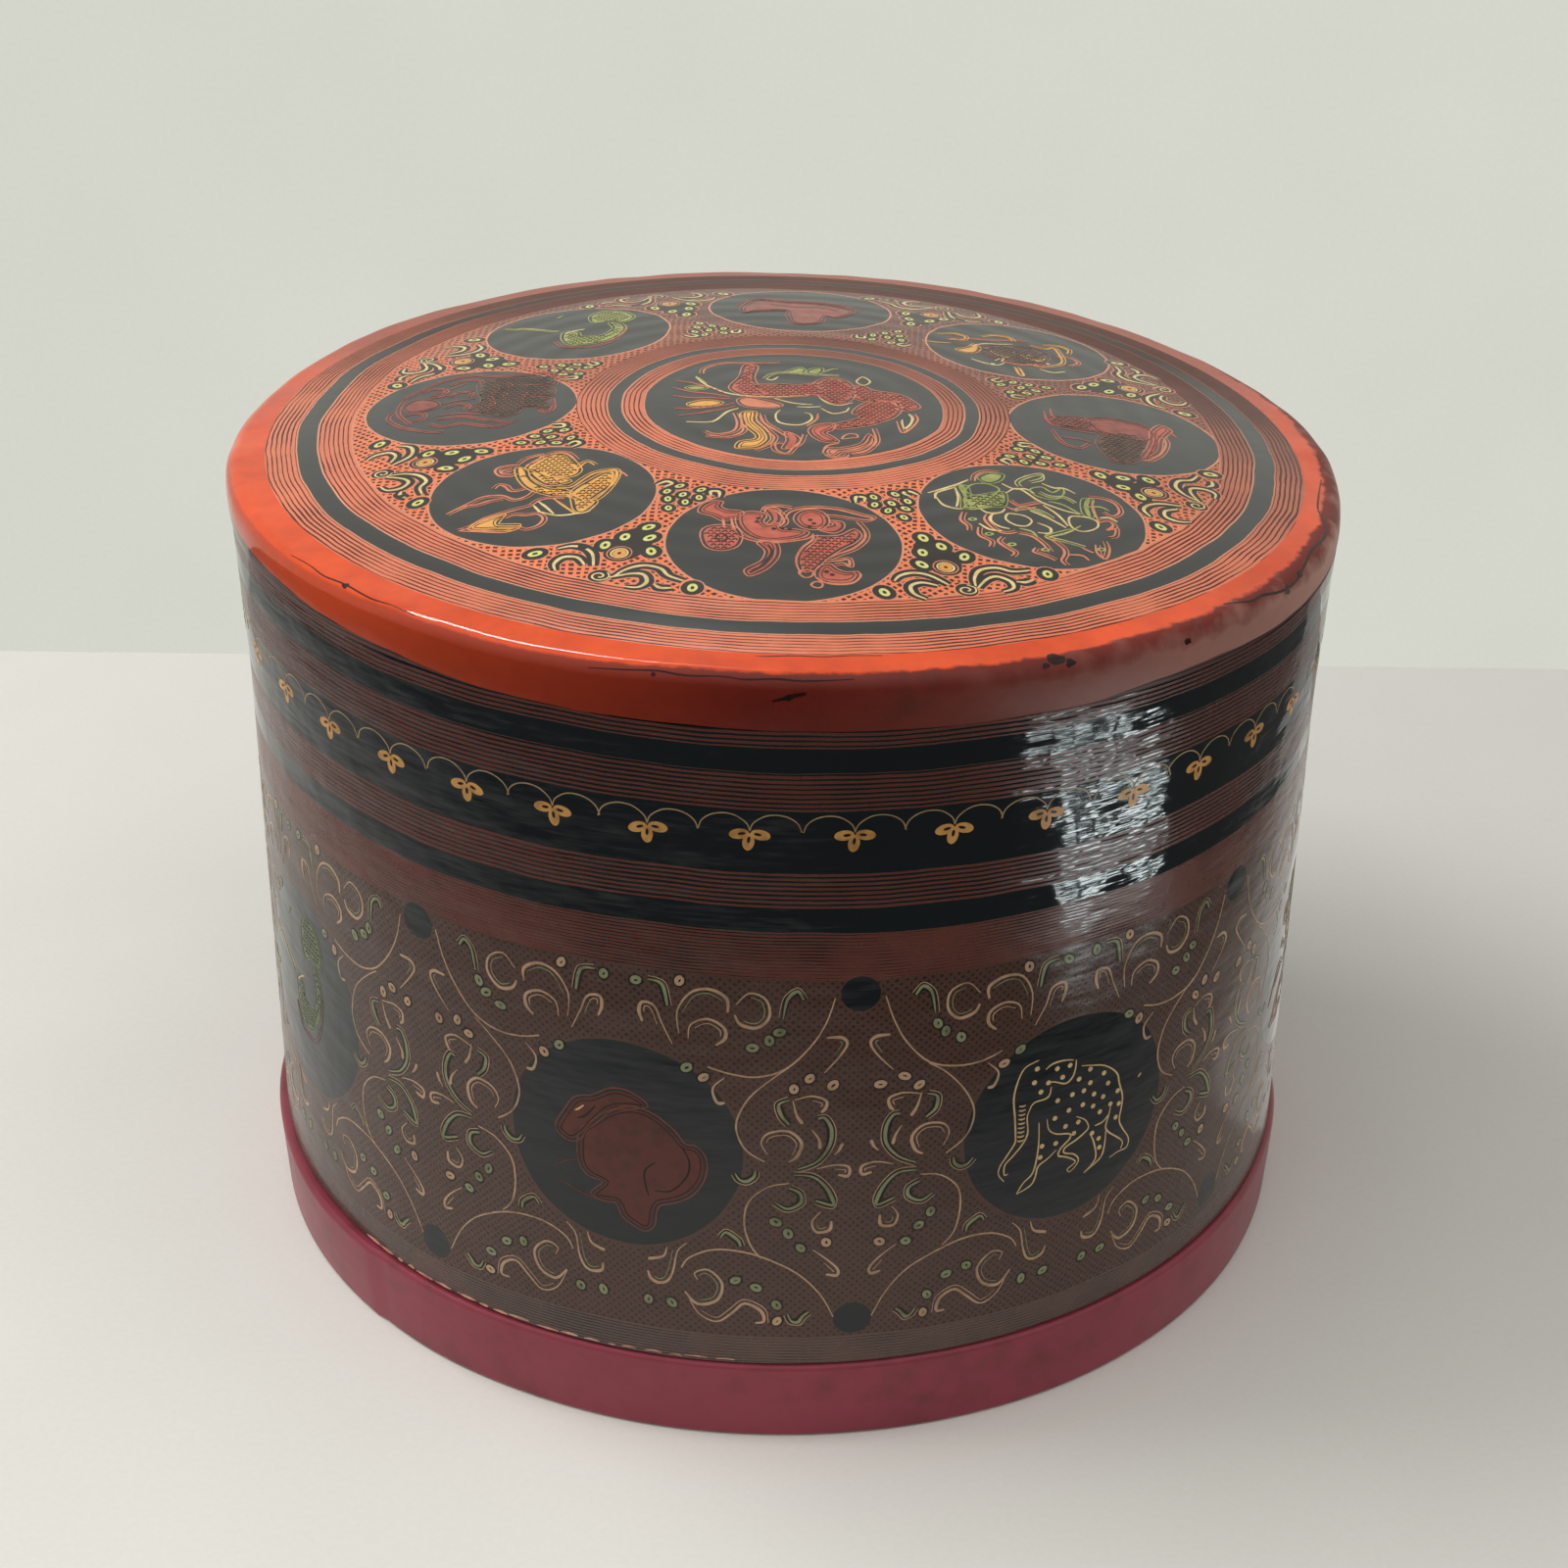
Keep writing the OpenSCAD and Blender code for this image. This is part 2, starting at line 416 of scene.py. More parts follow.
def settled(point):
    """Where a point of the true lid lies on this one, which sits cocked, flares out under its shoulder and
    is not quite round. Its crown has warped up at the front and down at the sides."""
    turn = math.atan2(point.x, -point.y)
    above = (point.z - SHOULDER_Z) / (CROWN_Z - SHOULDER_Z)
    growth = TWO_LOBES * math.sin(2 * turn + 0.6) + THREE_LOBES * math.sin(3 * turn + 2)
    growth += FLARE * max(0, min((point.z - FLARE_Z) / (SHOULDER_Z - FLARE_Z), 1 - above))
    rise = (LEAN_X * point.x + LEAN_Y * point.y) * (point.z - LID_Z) / (CROWN_Z - LID_Z)
    warp = WARP_FRONT * math.cos(turn) + WARP_SIDES * math.cos(2 * turn) - WARP_DROP
    rise += warp * (point.x ** 2 + point.y ** 2) / LID_R ** 2 * max(0, min(1, above))
    return point * (1 + growth / LID_R) * Vector((1, 1, 0)) + Vector((0, 0, point.z + rise))


def true_place(tree):
    """Where a point would be on the true lid: the vector, and its turn, radius and height as fields."""
    source = tree.nodes.new("ShaderNodeAttribute")
    source.attribute_name = "true_place"
    parts = tree.nodes.new("ShaderNodeSeparateXYZ")
    tree.links.new(source.outputs["Vector"], parts.inputs[0])
    x, y, z = [Field(tree, port) for port in parts.outputs]
    return source.outputs["Vector"], x.calc("ARCTAN2", y * -1), x.length_with(y), z


# Fine lines cut side by side: Line is 1 in the filled cut, and fades out where the tool ran shallow.
lines, lines_in = shader_group(
    "cut_lines", {"Across": 0, "Pitch": 0.85, "Share": 0.5, "Faint": 0.3}, ["Line"]
)
lines_place = object_place(lines)
lines_wear = (cloud(lines, lines_place, 9, 4) * 1.5 + cloud(lines, lines_place, 45) * 1.6) * lines_in["Faint"]
lines_rest = (lines_in["Across"] / lines_in["Pitch"]).calc("FRACT")
group_gives(lines, Line=lines_rest.below(lines_in["Share"] + lines_wear))

# A net of crossing cuts: Net is 1 on the threads, and the cells between them stay dark.
net, net_in = shader_group("cut_net", {"Along": 0, "Across": 0, "Cell": 1.1, "Thread": 0.45}, ["Net"])
net_place = object_place(net)
net_waver = cloud(net, net_place, 5) * 1.4
net_rising = ((net_in["Along"] + net_in["Across"] + net_waver) / net_in["Cell"]).calc("FRACT")
net_falling = ((net_in["Along"] - net_in["Across"] + net_waver * 0.7) / net_in["Cell"]).calc("FRACT")
net_thread = net_in["Thread"] + cloud(net, net_place, 3) * 0.5
group_gives(net, Net=net_rising.below(net_thread).or_else(net_falling.below(net_thread)))


def wall_paint(tree):
    """Bands, frieze ground and roundels of the lid's wall, from its foot to its shoulder."""
    place, turn, radius, height = true_place(tree)
    along = turn * LID_R
    level = height + cloud(tree, place, 45) * 2 + cloud(tree, place, 10) * 0.4
    line = use_group(tree, lines, Across=level, Pitch=LINE_PITCH, Share=0.55, Faint=0.3)["Line"]
    fine = use_group(tree, lines, Across=level, Pitch=FINE_PITCH, Share=0.78, Faint=0.5)["Line"]
    mesh = use_group(tree, net, Along=along, Across=level, Cell=NET_CELL, Thread=0.5)["Net"]
    lined = level.within_any(LINED_BANDS)
    low = level.within(*LOW_BAND)
    plain = level.within(*PLAIN_BAND).or_else(low)
    frieze = level.within(*FRIEZE_BAND)
    cut = lined * line + plain * fine
    colour = painted(WALL_BLACK, painted(WALL_RED, WALL_LOW, low), cut)
    colour = painted(colour, painted(WALL_DEEP, WALL_NET, mesh), frieze)
    aside = (along - ROUNDEL_TURN * LID_R).folded(ROUNDEL_SPAN)
    uneven = cloud(tree, place, 14) * 0.9
    away = aside.length_with(height - ROUNDEL_Z) + uneven
    colour = painted(colour, WALL_NET, away.within(ROUNDEL_R, ROUNDEL_R + ROUNDEL_RIM))
    black = away.below(ROUNDEL_R)
    dot_aside = (along - DOT_TURN * LID_R).folded(ROUNDEL_SPAN)
    for dot_height in DOT_HEIGHTS:
        black = black.or_else((dot_aside.length_with(height - dot_height) + uneven).below(DOT_R))
    outside = radius.above(LID_R - 1)
    colour = painted(colour, WALL_BLACK, black)
    relief = (cut + frieze * mesh) * black.flipped() * -CUT_DEPTH
    matt = (cut * 0.2 + frieze * 0.14) * black.flipped()
    return painted(INNER_RED_DEEP, colour, outside), relief * outside, matt


wall_outline = [
    (MOUTH_HOOP_R, LID_Z),
    *[(LID_R, LID_Z + (SHOULDER_Z - LID_Z) * i / WALL_STEPS) for i in range(WALL_STEPS + 1)],
    (LID_IN_R, SHOULDER_Z),
    (LID_IN_R, MOUTH_HOOP_Z),
    (MOUTH_HOOP_R, MOUTH_HOOP_Z),
]
wall_lacquer = lacquered("engraved_wall_lacquer", wall_paint, lumps=0.27, roughness=0.07, shine=0.42)
wall = turned("engraved_wall", wall_outline, settled)
wall.data.materials.append(wall_lacquer)
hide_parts("lid_wall")
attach(wall, "lid")


# Lid hoops
# The thin black hoop let into the lid's mouth, and the red hoop inside that ties the wall, the shoulder
# and the panel together.
PANEL_R = 94.5
PANEL_SEAT_R = 91.5
PANEL_Z = 146.3
CORNER_Z = 136.3

mouth_outline = [
    (LID_IN_R, LID_Z),
    (MOUTH_HOOP_R, LID_Z),
    (MOUTH_HOOP_R, MOUTH_HOOP_Z),
    (LID_IN_R, MOUTH_HOOP_Z),
]
mouth_hoop = turned("mouth_hoop", mouth_outline, settled)
mouth_hoop.data.materials.append(black_lacquer)
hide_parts("lid_mouth_hoop")
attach(mouth_hoop, "lid")

corner_outline = [
    (PANEL_SEAT_R + LID_IN_R - PANEL_R, CORNER_Z),
    (LID_IN_R, CORNER_Z),
    (LID_IN_R, PANEL_Z),
    (PANEL_SEAT_R, PANEL_Z),
    (PANEL_SEAT_R, CORNER_Z + LID_IN_R - PANEL_R),
]
corner_hoop = turned("corner_hoop", corner_outline, settled)
corner_hoop.data.materials.append(red_lacquer)
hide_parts("lid_corner_hoop")
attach(corner_hoop, "lid")


# Shoulder hoop
# The plain vermilion hoop that rounds the lid's wall over to its top, laid on thick so that it stands
# proud. Its side is painted in shade, lit at the left and dark at the front and right, with a painted
# reflection at the far right. It has cracked along the edge and where it meets the panel.
SHOULDER_BULGE = 0.9
SHOULDER_EASE = 2.4
SHOULDER_STEPS = 8
BROAD_LUMPS = 0.6
FINE_LUMPS = 0.16
LUMPS_ASIDE = 0.6
DOME_RISE = 7
LOW_EDGE_TURN = math.radians(-10)
LOW_EDGE_SWING = 9
LOW_EDGE_MOST = 2.8
VERMILION = ink(235, 84, 32)
VERMILION_DEEP = ink(190, 58, 28)
# Painted shade of the side below the ridge: dark red at the front and right, lit orange at the left,
# near-black patches
SHOULDER_SIDE_SHADED = ink(112, 32, 20)
SHOULDER_SIDE_LIT = ink(198, 70, 32)
SHOULDER_SHADE_PATCH = ink(52, 20, 16)
# Painted reflection of the pale surroundings on the far right of the side
SHOULDER_SHEEN_PALE = ink(206, 156, 142)
SHOULDER_DULL = ink(134, 82, 70)
# Turn at the right where the painted shade climbs highest up the side
SHADED_RIGHT_TURN = math.radians(65)
# Turn where the painted reflection on the side is strongest
SHEEN_TURN = math.radians(80)


def dome_z(radius):
    """Height of the domed top at this radius."""
    return CROWN_Z + DOME_RISE * (1 - (radius / PANEL_R) ** 2)


edge_x = LID_R + SHOULDER_BULGE - SHOULDER_EASE
edge_z = dome_z(edge_x) - SHOULDER_EASE


def lumpy(point):
    """The shoulder's thick lacquer: the settled lid with low lumps on its outside."""
    radius = math.hypot(point.x, point.y)
    lump = BROAD_LUMPS * noise.noise(point * 0.028) + FINE_LUMPS * noise.noise(point * 0.12)
    outward = min(1, max(0, radius - LID_IN_R))
    turn = math.atan2(point.x, -point.y)
    return settled(point) + polar(LUMPS_ASIDE * lump * outward, turn, lump * outward)


def shoulder_paint(tree):
    """Vermilion, mottled where thin, with painted shade on the side and a painted reflection at its right."""
    place, turn, radius, height = true_place(tree)
    past_ridge = (radius - edge_x) * 0.5 - height + edge_z
    # Weight towards the right, where the side's painted shade climbs higher and is more jagged
    shaded_right = (turn - SHADED_RIGHT_TURN).calc("COSINE").calc("MAXIMUM", 0)
    jagged = cloud(tree, place, 2.5, 4) * (shaded_right + 0.8) + cloud(tree, place, 40) * 1.4
    # The side below the ridge, which carries the painted shade
    side = ((past_ridge + jagged + shaded_right * 2 + 1) / 0.5).clamped()
    # Painted light and shade of the side: lit at the left, darker towards the front and right
    darker = (turn / math.radians(50) + 1.05).clamped()
    top = painted(VERMILION, VERMILION_DEEP, (cloud(tree, place, 9, 5) * 1.6 + 0.15).calc("MAXIMUM", 0))
    # Near-black patches that deepen the painted shade of the side
    shade_patches = (cloud(tree, place, 8, 4) * 3 - 0.3).clamped(high=0.8)
    low = painted(SHOULDER_SIDE_LIT, painted(SHOULDER_SIDE_SHADED, SHOULDER_SHADE_PATCH, shade_patches), darker)
    # Painted reflection on the side below the ridge at the far right
    sheen_side = (turn - SHEEN_TURN).calc("COSINE").calc("MAXIMUM", 0).calc("POWER", 3)
    wear_and_sheen = ((height * -1 + edge_z + 2 + cloud(tree, place, 5, 4) * 6) / 3).clamped(high=0.9) * sheen_side
    far = (turn.calc("COSINE") * -1.2 + cloud(tree, place, 20) * 0.6).clamped(high=0.8)
    red = painted(painted(top, painted(low, SHOULDER_SHEEN_PALE, wear_and_sheen), side), SHOULDER_DULL, far)
    low_edge = (turn - LOW_EDGE_TURN).calc("COSINE").flipped() * LOW_EDGE_SWING
    low_edge = low_edge.calc("MINIMUM", LOW_EDGE_MOST) - shaded_right * 1.8
    low_edge = low_edge + cloud(tree, place, 16) * 1.2 + SHOULDER_Z
    line = use_group(tree, lines, Across=height, Pitch=LINE_PITCH, Share=0.55, Faint=0.3)["Line"]
    bare = height.below(low_edge)
    matt = side * shaded_right * 0.4 + far * 0.3
    return painted(red, painted(WALL_BLACK, WALL_RED, line), bare), cloud(tree, place, 1.5) * 0.015, matt


shoulder_outline = [
    (LID_IN_R, SHOULDER_Z),
    *[
        (
            LID_R + SHOULDER_BULGE * math.sin(math.pi / 2 * i / SHOULDER_STEPS),
            SHOULDER_Z + (edge_z - SHOULDER_Z) * i / SHOULDER_STEPS,
        )
        for i in range(SHOULDER_STEPS)
    ],
    *arc(edge_x, edge_z, SHOULDER_EASE, 0, 90),
    (PANEL_R, CROWN_Z),
    (PANEL_R, PANEL_Z),
    (LID_IN_R, PANEL_Z),
]
shoulder_lacquer = lacquered("vermilion_lacquer", shoulder_paint, lumps=0.16, roughness=0.1, shine=0.27)
shoulder = turned("vermilion_shoulder", shoulder_outline, lumpy)
shoulder.data.materials.append(shoulder_lacquer)
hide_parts("lid_shoulder_hoop")
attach(shoulder, "lid")


# Panel
# The coiled bamboo disc that closes the lid, domed, its black lacquer cut with rings of fine lines, a
# netted ground and black roundels, and filled with vermilion that has dulled to salmon.
PANEL_SHIFT = (1.3, -1.0)
RING_SHIFT = (-1.1, 1.2)
TOP_BLACK = ink(30, 31, 31)
TOP_RED = ink(229, 128, 94)
TOP_RED_DULL = ink(108, 66, 55)
TOP_RED_FAR = ink(88, 54, 44)
COIL_PITCH = 6.5
COIL_RELIEF = 0.03
POLISH = 0.46
POLISH_LEFT = 0.08
POLISH_ROUGHNESS = 0.16
TOP_LINE_DARK = ink(72, 28, 20)
TOP_CELL = ink(72, 34, 26)
TOP_NET = ink(246, 134, 90)
TOP_PALE = ink(228, 150, 116)
INNER_EDGES = (27.2, 31.1, 33.8)
INNER_LINES = ((27.2, 31.3), (33.8, 39.5))
OUTER_EDGES = (79, 85.2, 89)
OUTER_LINES = ((79, 85.2), (89, 102))
OUTER_BLACK = (85.2, 89)
FIELD_SPAN = (39.5, 79)
FIELD_MIDDLE = 50
EDGE_WIDTH = 0.3
MEDAL_EDGE_WIDTH = 0.4
TOP_CELL_SIZE = 1.85
TOP_CUT_DEPTH = 0.015
COIL_STEPS = 120
UNDER_STEPS = 20
MEDAL_RING_R = 58.8
MEDAL_R = 19.3
MEDAL_TURN = math.radians(-1.3)
SECTORS = 8
SECTOR = math.tau / SECTORS


def coiled_z(radius):
    """Height of the panel's outside, with the low ridges of the coil under its lacquer."""
    return dome_z(radius) + COIL_RELIEF * math.sin(math.tau * radius / COIL_PITCH)


def panel_paint(tree):
    """Rings, netted field and roundels of the top, from the middle out. The black keeps its polish, and
    the cut and filled work has lost most of it."""
    place, turn, radius, height = true_place(tree)
    parts = tree.nodes.new("ShaderNodeSeparateXYZ")
    feed(tree, parts.inputs[0], place)
    x = Field(tree, parts.outputs[0]) - PANEL_SHIFT[0]
    y = Field(tree, parts.outputs[1]) - PANEL_SHIFT[1]
    waver = cloud(tree, place, 22) * 1.9 + cloud(tree, place, 8) * 0.4
    ring = x.length_with(y) + waver
    outer = (x - RING_SHIFT[0]).length_with(y - RING_SHIFT[1]) + waver
    dull = ((x * 0.5 + y * 1.3) / 95 + cloud(tree, place, 18, 4) * 0.8 + 0.24).clamped()
    outside = ring.above(FIELD_MIDDLE)
    back = (y / 50).clamped()
    across = ring * outside.flipped() + outer * outside
    line = use_group(tree, lines, Across=across, Pitch=LINE_PITCH, Share=0.68, Faint=0.5)["Line"]
    lined = ring.within_any(INNER_LINES).or_else(outer.within_any(OUTER_LINES))
    dusty = lined + outer.within(*OUTER_BLACK) * back
    field = ring.above(FIELD_SPAN[0]) * outer.below(FIELD_SPAN[1])
    sector = (x.calc("ARCTAN2", y * -1) - MEDAL_TURN).folded(SECTOR)
    away_x = x.length_with(y) * sector.calc("SINE") * (back * 0.06 + 1)
    away_y = (x.length_with(y) * sector.calc("COSINE") - MEDAL_RING_R - back * 2.5) * (back * 0.14 + 1)
    away = away_x.length_with(away_y) + cloud(tree, place, 12) * 0.7
    mesh = use_group(tree, net, Along=away_x, Across=away_y, Cell=TOP_CELL_SIZE, Thread=0.44)["Net"]
    colour = painted(TOP_BLACK, painted(TOP_LINE_DARK, painted(TOP_RED, TOP_RED_DULL, dull), line), lined)
    colour = painted(colour, TOP_RED_FAR, dusty * back * 0.4)
    colour = painted(colour, painted(TOP_CELL, painted(TOP_NET, TOP_RED_DULL, dull), mesh), field)
    for rings, edges in ((ring, INNER_EDGES), (outer, OUTER_EDGES)):
        for edge in edges:
            colour = painted(colour, TOP_PALE, rings.within(edge, edge + EDGE_WIDTH) * (dull * -0.7 + 1))
    colour = painted(colour, TOP_PALE, away.within(MEDAL_R, MEDAL_R + MEDAL_EDGE_WIDTH) * field)
    medal = away.below(MEDAL_R) * field
    colour = painted(colour, TOP_BLACK, medal)
    above = height.above(PANEL_Z + 3)
    cut = lined + field * medal.flipped()
    shader = tree.nodes["Principled BSDF"]
    shader.inputs["Coat Roughness"].default_value = POLISH_ROUGHNESS
    feed(tree, shader.inputs["Coat Weight"], cut.flipped() * (back * -0.85 + 1) * POLISH + POLISH_LEFT)
    relief = (lined * line + field * mesh * medal.flipped()) * -TOP_CUT_DEPTH
    matt = dusty * (back * 0.3 + 0.06)
    return painted(INNER_RED_DEEP, colour, above.or_else(radius.above(PANEL_SEAT_R))), relief, matt


panel_outline = [
    *[(PANEL_R * i / COIL_STEPS, coiled_z(PANEL_R * i / COIL_STEPS)) for i in range(COIL_STEPS + 1)],
    (PANEL_R, PANEL_Z),
    *[
        (PANEL_SEAT_R * i / UNDER_STEPS, PANEL_Z + DOME_RISE * (1 - (i / UNDER_STEPS) ** 2))
        for i in range(UNDER_STEPS, -1, -1)
    ],
]
panel_lacquer = lacquered("engraved_panel_lacquer", panel_paint, lumps=0.14, roughness=0.2, shine=0.15)
panel = turned("engraved_panel", panel_outline, settled)
panel.data.materials.append(panel_lacquer)
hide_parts("lid_panel")
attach(panel, "lid")


# Scroll frieze
# The scrolls cut into the lid's wall between the roundels and filled with tan and green, eight mirrored
# cells, each about a pair of black dots. Drawn by hand, so no two cells are quite alike.
INK_LIFT = 0.035
INK_SINK = 0.08
STEM_TAN = ink(188, 154, 124)
STEM_WORN = ink(130, 104, 84)
LEAF_GREEN = ink(138, 142, 108)
LEAF_WORN = ink(84, 85, 62)
SHADE_DARK = ink(34, 30, 26)
SHADE_BROWN = ink(50, 39, 32)
STEM_WIDTHS = (0.2, 0.33, 0.26)
CURL_WIDTHS = (0.14, 0.3, 0.46, 0.62, 0.24)
CURL_ECHO_WIDTHS = (0.08, 0.15, 0.2, 0.1)
CURL_ECHO_GAP = 0.85
LEAF_WIDTHS = (0.2, 0.66, 0.3)
LEAF_SEAT_WIDTHS = (0.5, 1.7, 1)
LEAF_VEIN_WIDTHS = (0.1, 0.18, 0.1)
LEAF_VEIN_GAP = 0.7
EYE_SEAT = (1.35, 1.1)
EYE_LONG = (0.6, 0.8)
EYE_BROAD = (0.42, 0.55)
EYE_WIDTHS = (0.75, 0.5)
HAND_SLIP = 0.3
HAND_SHAKE = 0.12


def smooth(points, closed=False, parts=4):
    """A curve through these points, as complex numbers, with a few parts between each two."""
    knots = [complex(*point) for point in points]
    if closed:
        knots = [knots[-1], *knots, knots[0], knots[1]]
    else:
        knots = [knots[0], *knots, knots[-1]]
    path = []
    for p0, p1, p2, p3 in zip(knots, knots[1:], knots[2:], knots[3:]):
        for t in [i / parts for i in range(parts)]:
            bend = (2 * p0 - 5 * p1 + 4 * p2 - p3) * t ** 2 + (3 * p1 - p0 - 3 * p2 + p3) * t ** 3
            path.append(p1 + ((p2 - p0) * t + bend) / 2)
    return path if closed else path + [knots[-1]]


def oval_points(centre, length, breadth, lean, count):
    """Points round an oval, whose length leans from the level."""
    turns = [math.tau * i / count for i in range(count)]
    reaches = [cmath.rect(1, lean) * complex(length * math.cos(a), breadth * math.sin(a)) for a in turns]
    return [(centre[0] + reach.real, centre[1] + reach.imag) for reach in reaches]


class Pen:
    """Lines and shapes of one ink on a surface: thin closed bars and plates that stand just proud of it."""

    def __init__(self, place, lift=INK_LIFT):
        self.work = bmesh.new()
        self.place = place
        self.lift = lift

    def corner(self, point, height):
        return self.work.verts.new(self.place(point.real, point.imag, height) * MM)

    def line(self, points, widths, closed=False):
        """A stroke through these points; its width runs through widths from start to end."""
        path = smooth(points, closed)
        sections = []
        for i, point in enumerate(path):
            after = path[(i + 1) % len(path)] if closed else path[min(i + 1, len(path) - 1)]
            heading = after - (path[i - 1] if closed or i else point)
            along = i / len(path) * (len(widths) - 1)
            step = int(along)
            width = widths[step] + (widths[min(step + 1, len(widths) - 1)] - widths[step]) * (along - step)
            aside = 1j * heading / abs(heading) * width / 2
            ends = [(point + aside, self.lift), (point - aside, self.lift)]
            ends += [(point - aside, -INK_SINK), (point + aside, -INK_SINK)]
            sections.append([self.corner(*end) for end in ends])
        following = sections[1:] + sections[:1] if closed else sections[1:]
        for section, other in zip(sections, following):
            for i in range(4):
                self.work.faces.new((section[i - 1], section[i], other[i], other[i - 1]))
        if not closed:
            self.work.faces.new(sections[0])
            self.work.faces.new(sections[-1][::-1])

    def oval(self, centre, length, breadth, lean, widths):
        """An oval ring."""
        self.line(oval_points(centre, length, breadth, lean, 10), widths, closed=True)

    def shape(self, points, parts=3):
        """A filled plate inside a smooth closed outline, fine enough to lie along the surface."""
        rim = smooth(points, closed=True, parts=parts)
        sheet = bmesh.new()
        corners = [sheet.verts.new((point.real, point.imag, 0)) for point in rim]
        for triangle in geometry.tessellate_polygon([[corner.co for corner in corners]]):
            sheet.faces.new([corners[i] for i in triangle])
        for _ in range(4):
            long_edges = [edge for edge in sheet.edges if edge.calc_length() > 2.5]
            bmesh.ops.subdivide_edges(sheet, edges=long_edges, cuts=1)
            bmesh.ops.triangulate(sheet, faces=sheet.faces)
        upper = {corner: self.corner(complex(corner.co.x, corner.co.y), self.lift) for corner in sheet.verts}
        lower = {corner: self.corner(complex(corner.co.x, corner.co.y), -INK_SINK) for corner in sheet.verts}
        for face in sheet.faces:
            self.work.faces.new([upper[corner] for corner in face.verts])
            self.work.faces.new([lower[corner] for corner in reversed(face.verts)])
        for edge in sheet.edges:
            if edge.is_boundary:
                first, second = edge.verts
                self.work.faces.new((upper[first], upper[second], lower[second], lower[first]))
        sheet.free()

    def patch(self, centre, length, breadth, lean):
        """A filled oval."""
        self.shape(oval_points(centre, length, breadth, lean, 8), parts=2)

    def done(self, name, material, slot="engraved_lacquer"):
        """The finished strokes as a piece of the lid."""
        bmesh.ops.recalc_face_normals(self.work, faces=self.work.faces)
        piece = shown(name, self.work)
        piece.data.materials.append(material)
        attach(piece, "lid")


def ink_lacquer(name, colour, worn):
    """Ink rubbed into a cut: its colour, worn away towards another in fine patches."""

    def ink_paint(tree):
        place = object_place(tree)
        wear = (cloud(tree, place, 2.2, 4) * 2.4 + cloud(tree, place, 18) * 1.4 + 0.2).clamped()
        return painted(colour, worn, wear), cloud(tree, place, 0.7) * 0.01, 0

    return lacquered(name, ink_paint, lumps=0.14, roughness=0.24, shine=0.2)


def on_wall(along, height, lift):
    """A place on the settled lid's wall, by the distance round from the front and the height."""
    return settled(polar(LID_R + lift, along / LID_R, height))


# One half of a cell, left of the dots: distance from the dots' axis, and height
STEMS = [
    [(-4.1, 91.9), (-5.5, 87), (-7.9, 82.4), (-11.9, 78.1), (-16.5, 76.5), (-21, 76.7), (-24.6, 77.9)],
    [(-11.7, 77.9), (-14.6, 75.6), (-18.2, 71.7), (-20, 67.2), (-19.8, 63.8), (-18.3, 61), (-15.5, 59)],
    [(-11.2, 55.2), (-14.9, 54.3), (-18, 51), (-18.7, 46.4), (-17.7, 42), (-15.8, 39.4)],
    [(-3.4, 26.2), (-5.8, 31.2), (-9.7, 35.7), (-15.3, 39), (-20, 40.2), (-24.5, 40), (-28.2, 38),
     (-29.5, 35.7)],
]
CURLS = [
    [(-15, 60.7), (-16, 63), (-14.7, 65), (-11.5, 65.4), (-9.4, 63.3), (-10, 60.4), (-11.3, 59.3)],
    [(-3.5, 60.7), (-2.7, 61.8), (-2.2, 63)],
    [(-7.4, 65.8), (-6.2, 63.8), (-5.9, 62)],
    [(-5.7, 77), (-3.2, 80), (-1.9, 82.4), (-2.9, 83.8), (-5.2, 83.8)],
    [(-10.6, 71.7), (-7.6, 72.5), (-5.3, 71.7), (-5.4, 70), (-6.1, 69.2)],
    [(-10.6, 71.7), (-10, 69), (-9, 67.2)],
    [(-6.4, 58.2), (-3.5, 58.8), (-1.1, 58.2), (-1.3, 56.5), (-2.9, 56.8)],
    [(-5.9, 49), (-7.2, 47), (-6.3, 45), (-4.2, 45.3), (-4, 47.2)],
    [(-6.8, 40.8), (-4.2, 38.5), (-2.5, 36.3), (-2.7, 35), (-4.4, 35.4)],
    [(-26.4, 33.4), (-26.9, 35), (-24.6, 35.7), (-22.3, 33), (-23.2, 29.4), (-26.4, 28.3), (-28.6, 30.8)],
    [(-28.2, 30.7), (-26.4, 26.7), (-23.2, 25), (-20.5, 27.3), (-18.2, 29.5), (-15.4, 28), (-15, 25.6),
     (-16.5, 25.3)],
    [(-28.5, 41), (-30.3, 39), (-31, 35), (-31.8, 32.6), (-33.4, 31.8), (-35, 32.6), (-35.4, 34)],
    [(-32, 40.2), (-32.8, 38), (-35.3, 37)],
    [(-29.8, 83.5), (-30, 88), (-28, 91.6), (-24.8, 92.5), (-22, 91), (-21.9, 88.5)],
    [(-27.8, 83), (-27.4, 85.7), (-24.6, 87), (-22, 85.7), (-21.8, 83.5), (-23.3, 82)],
    [(-20.2, 90.2), (-18, 92.5), (-15.2, 91.2), (-14.7, 88), (-16.8, 85.8), (-19.4, 86.3), (-20.4, 88)],
    [(-30.4, 81.5), (-32.2, 85.2), (-33.4, 88.3), (-35.5, 88.8), (-36, 87), (-35.4, 85)],
    [(-22, 75.6), (-24, 73.4), (-23.4, 70.8), (-22, 70.6)],
]
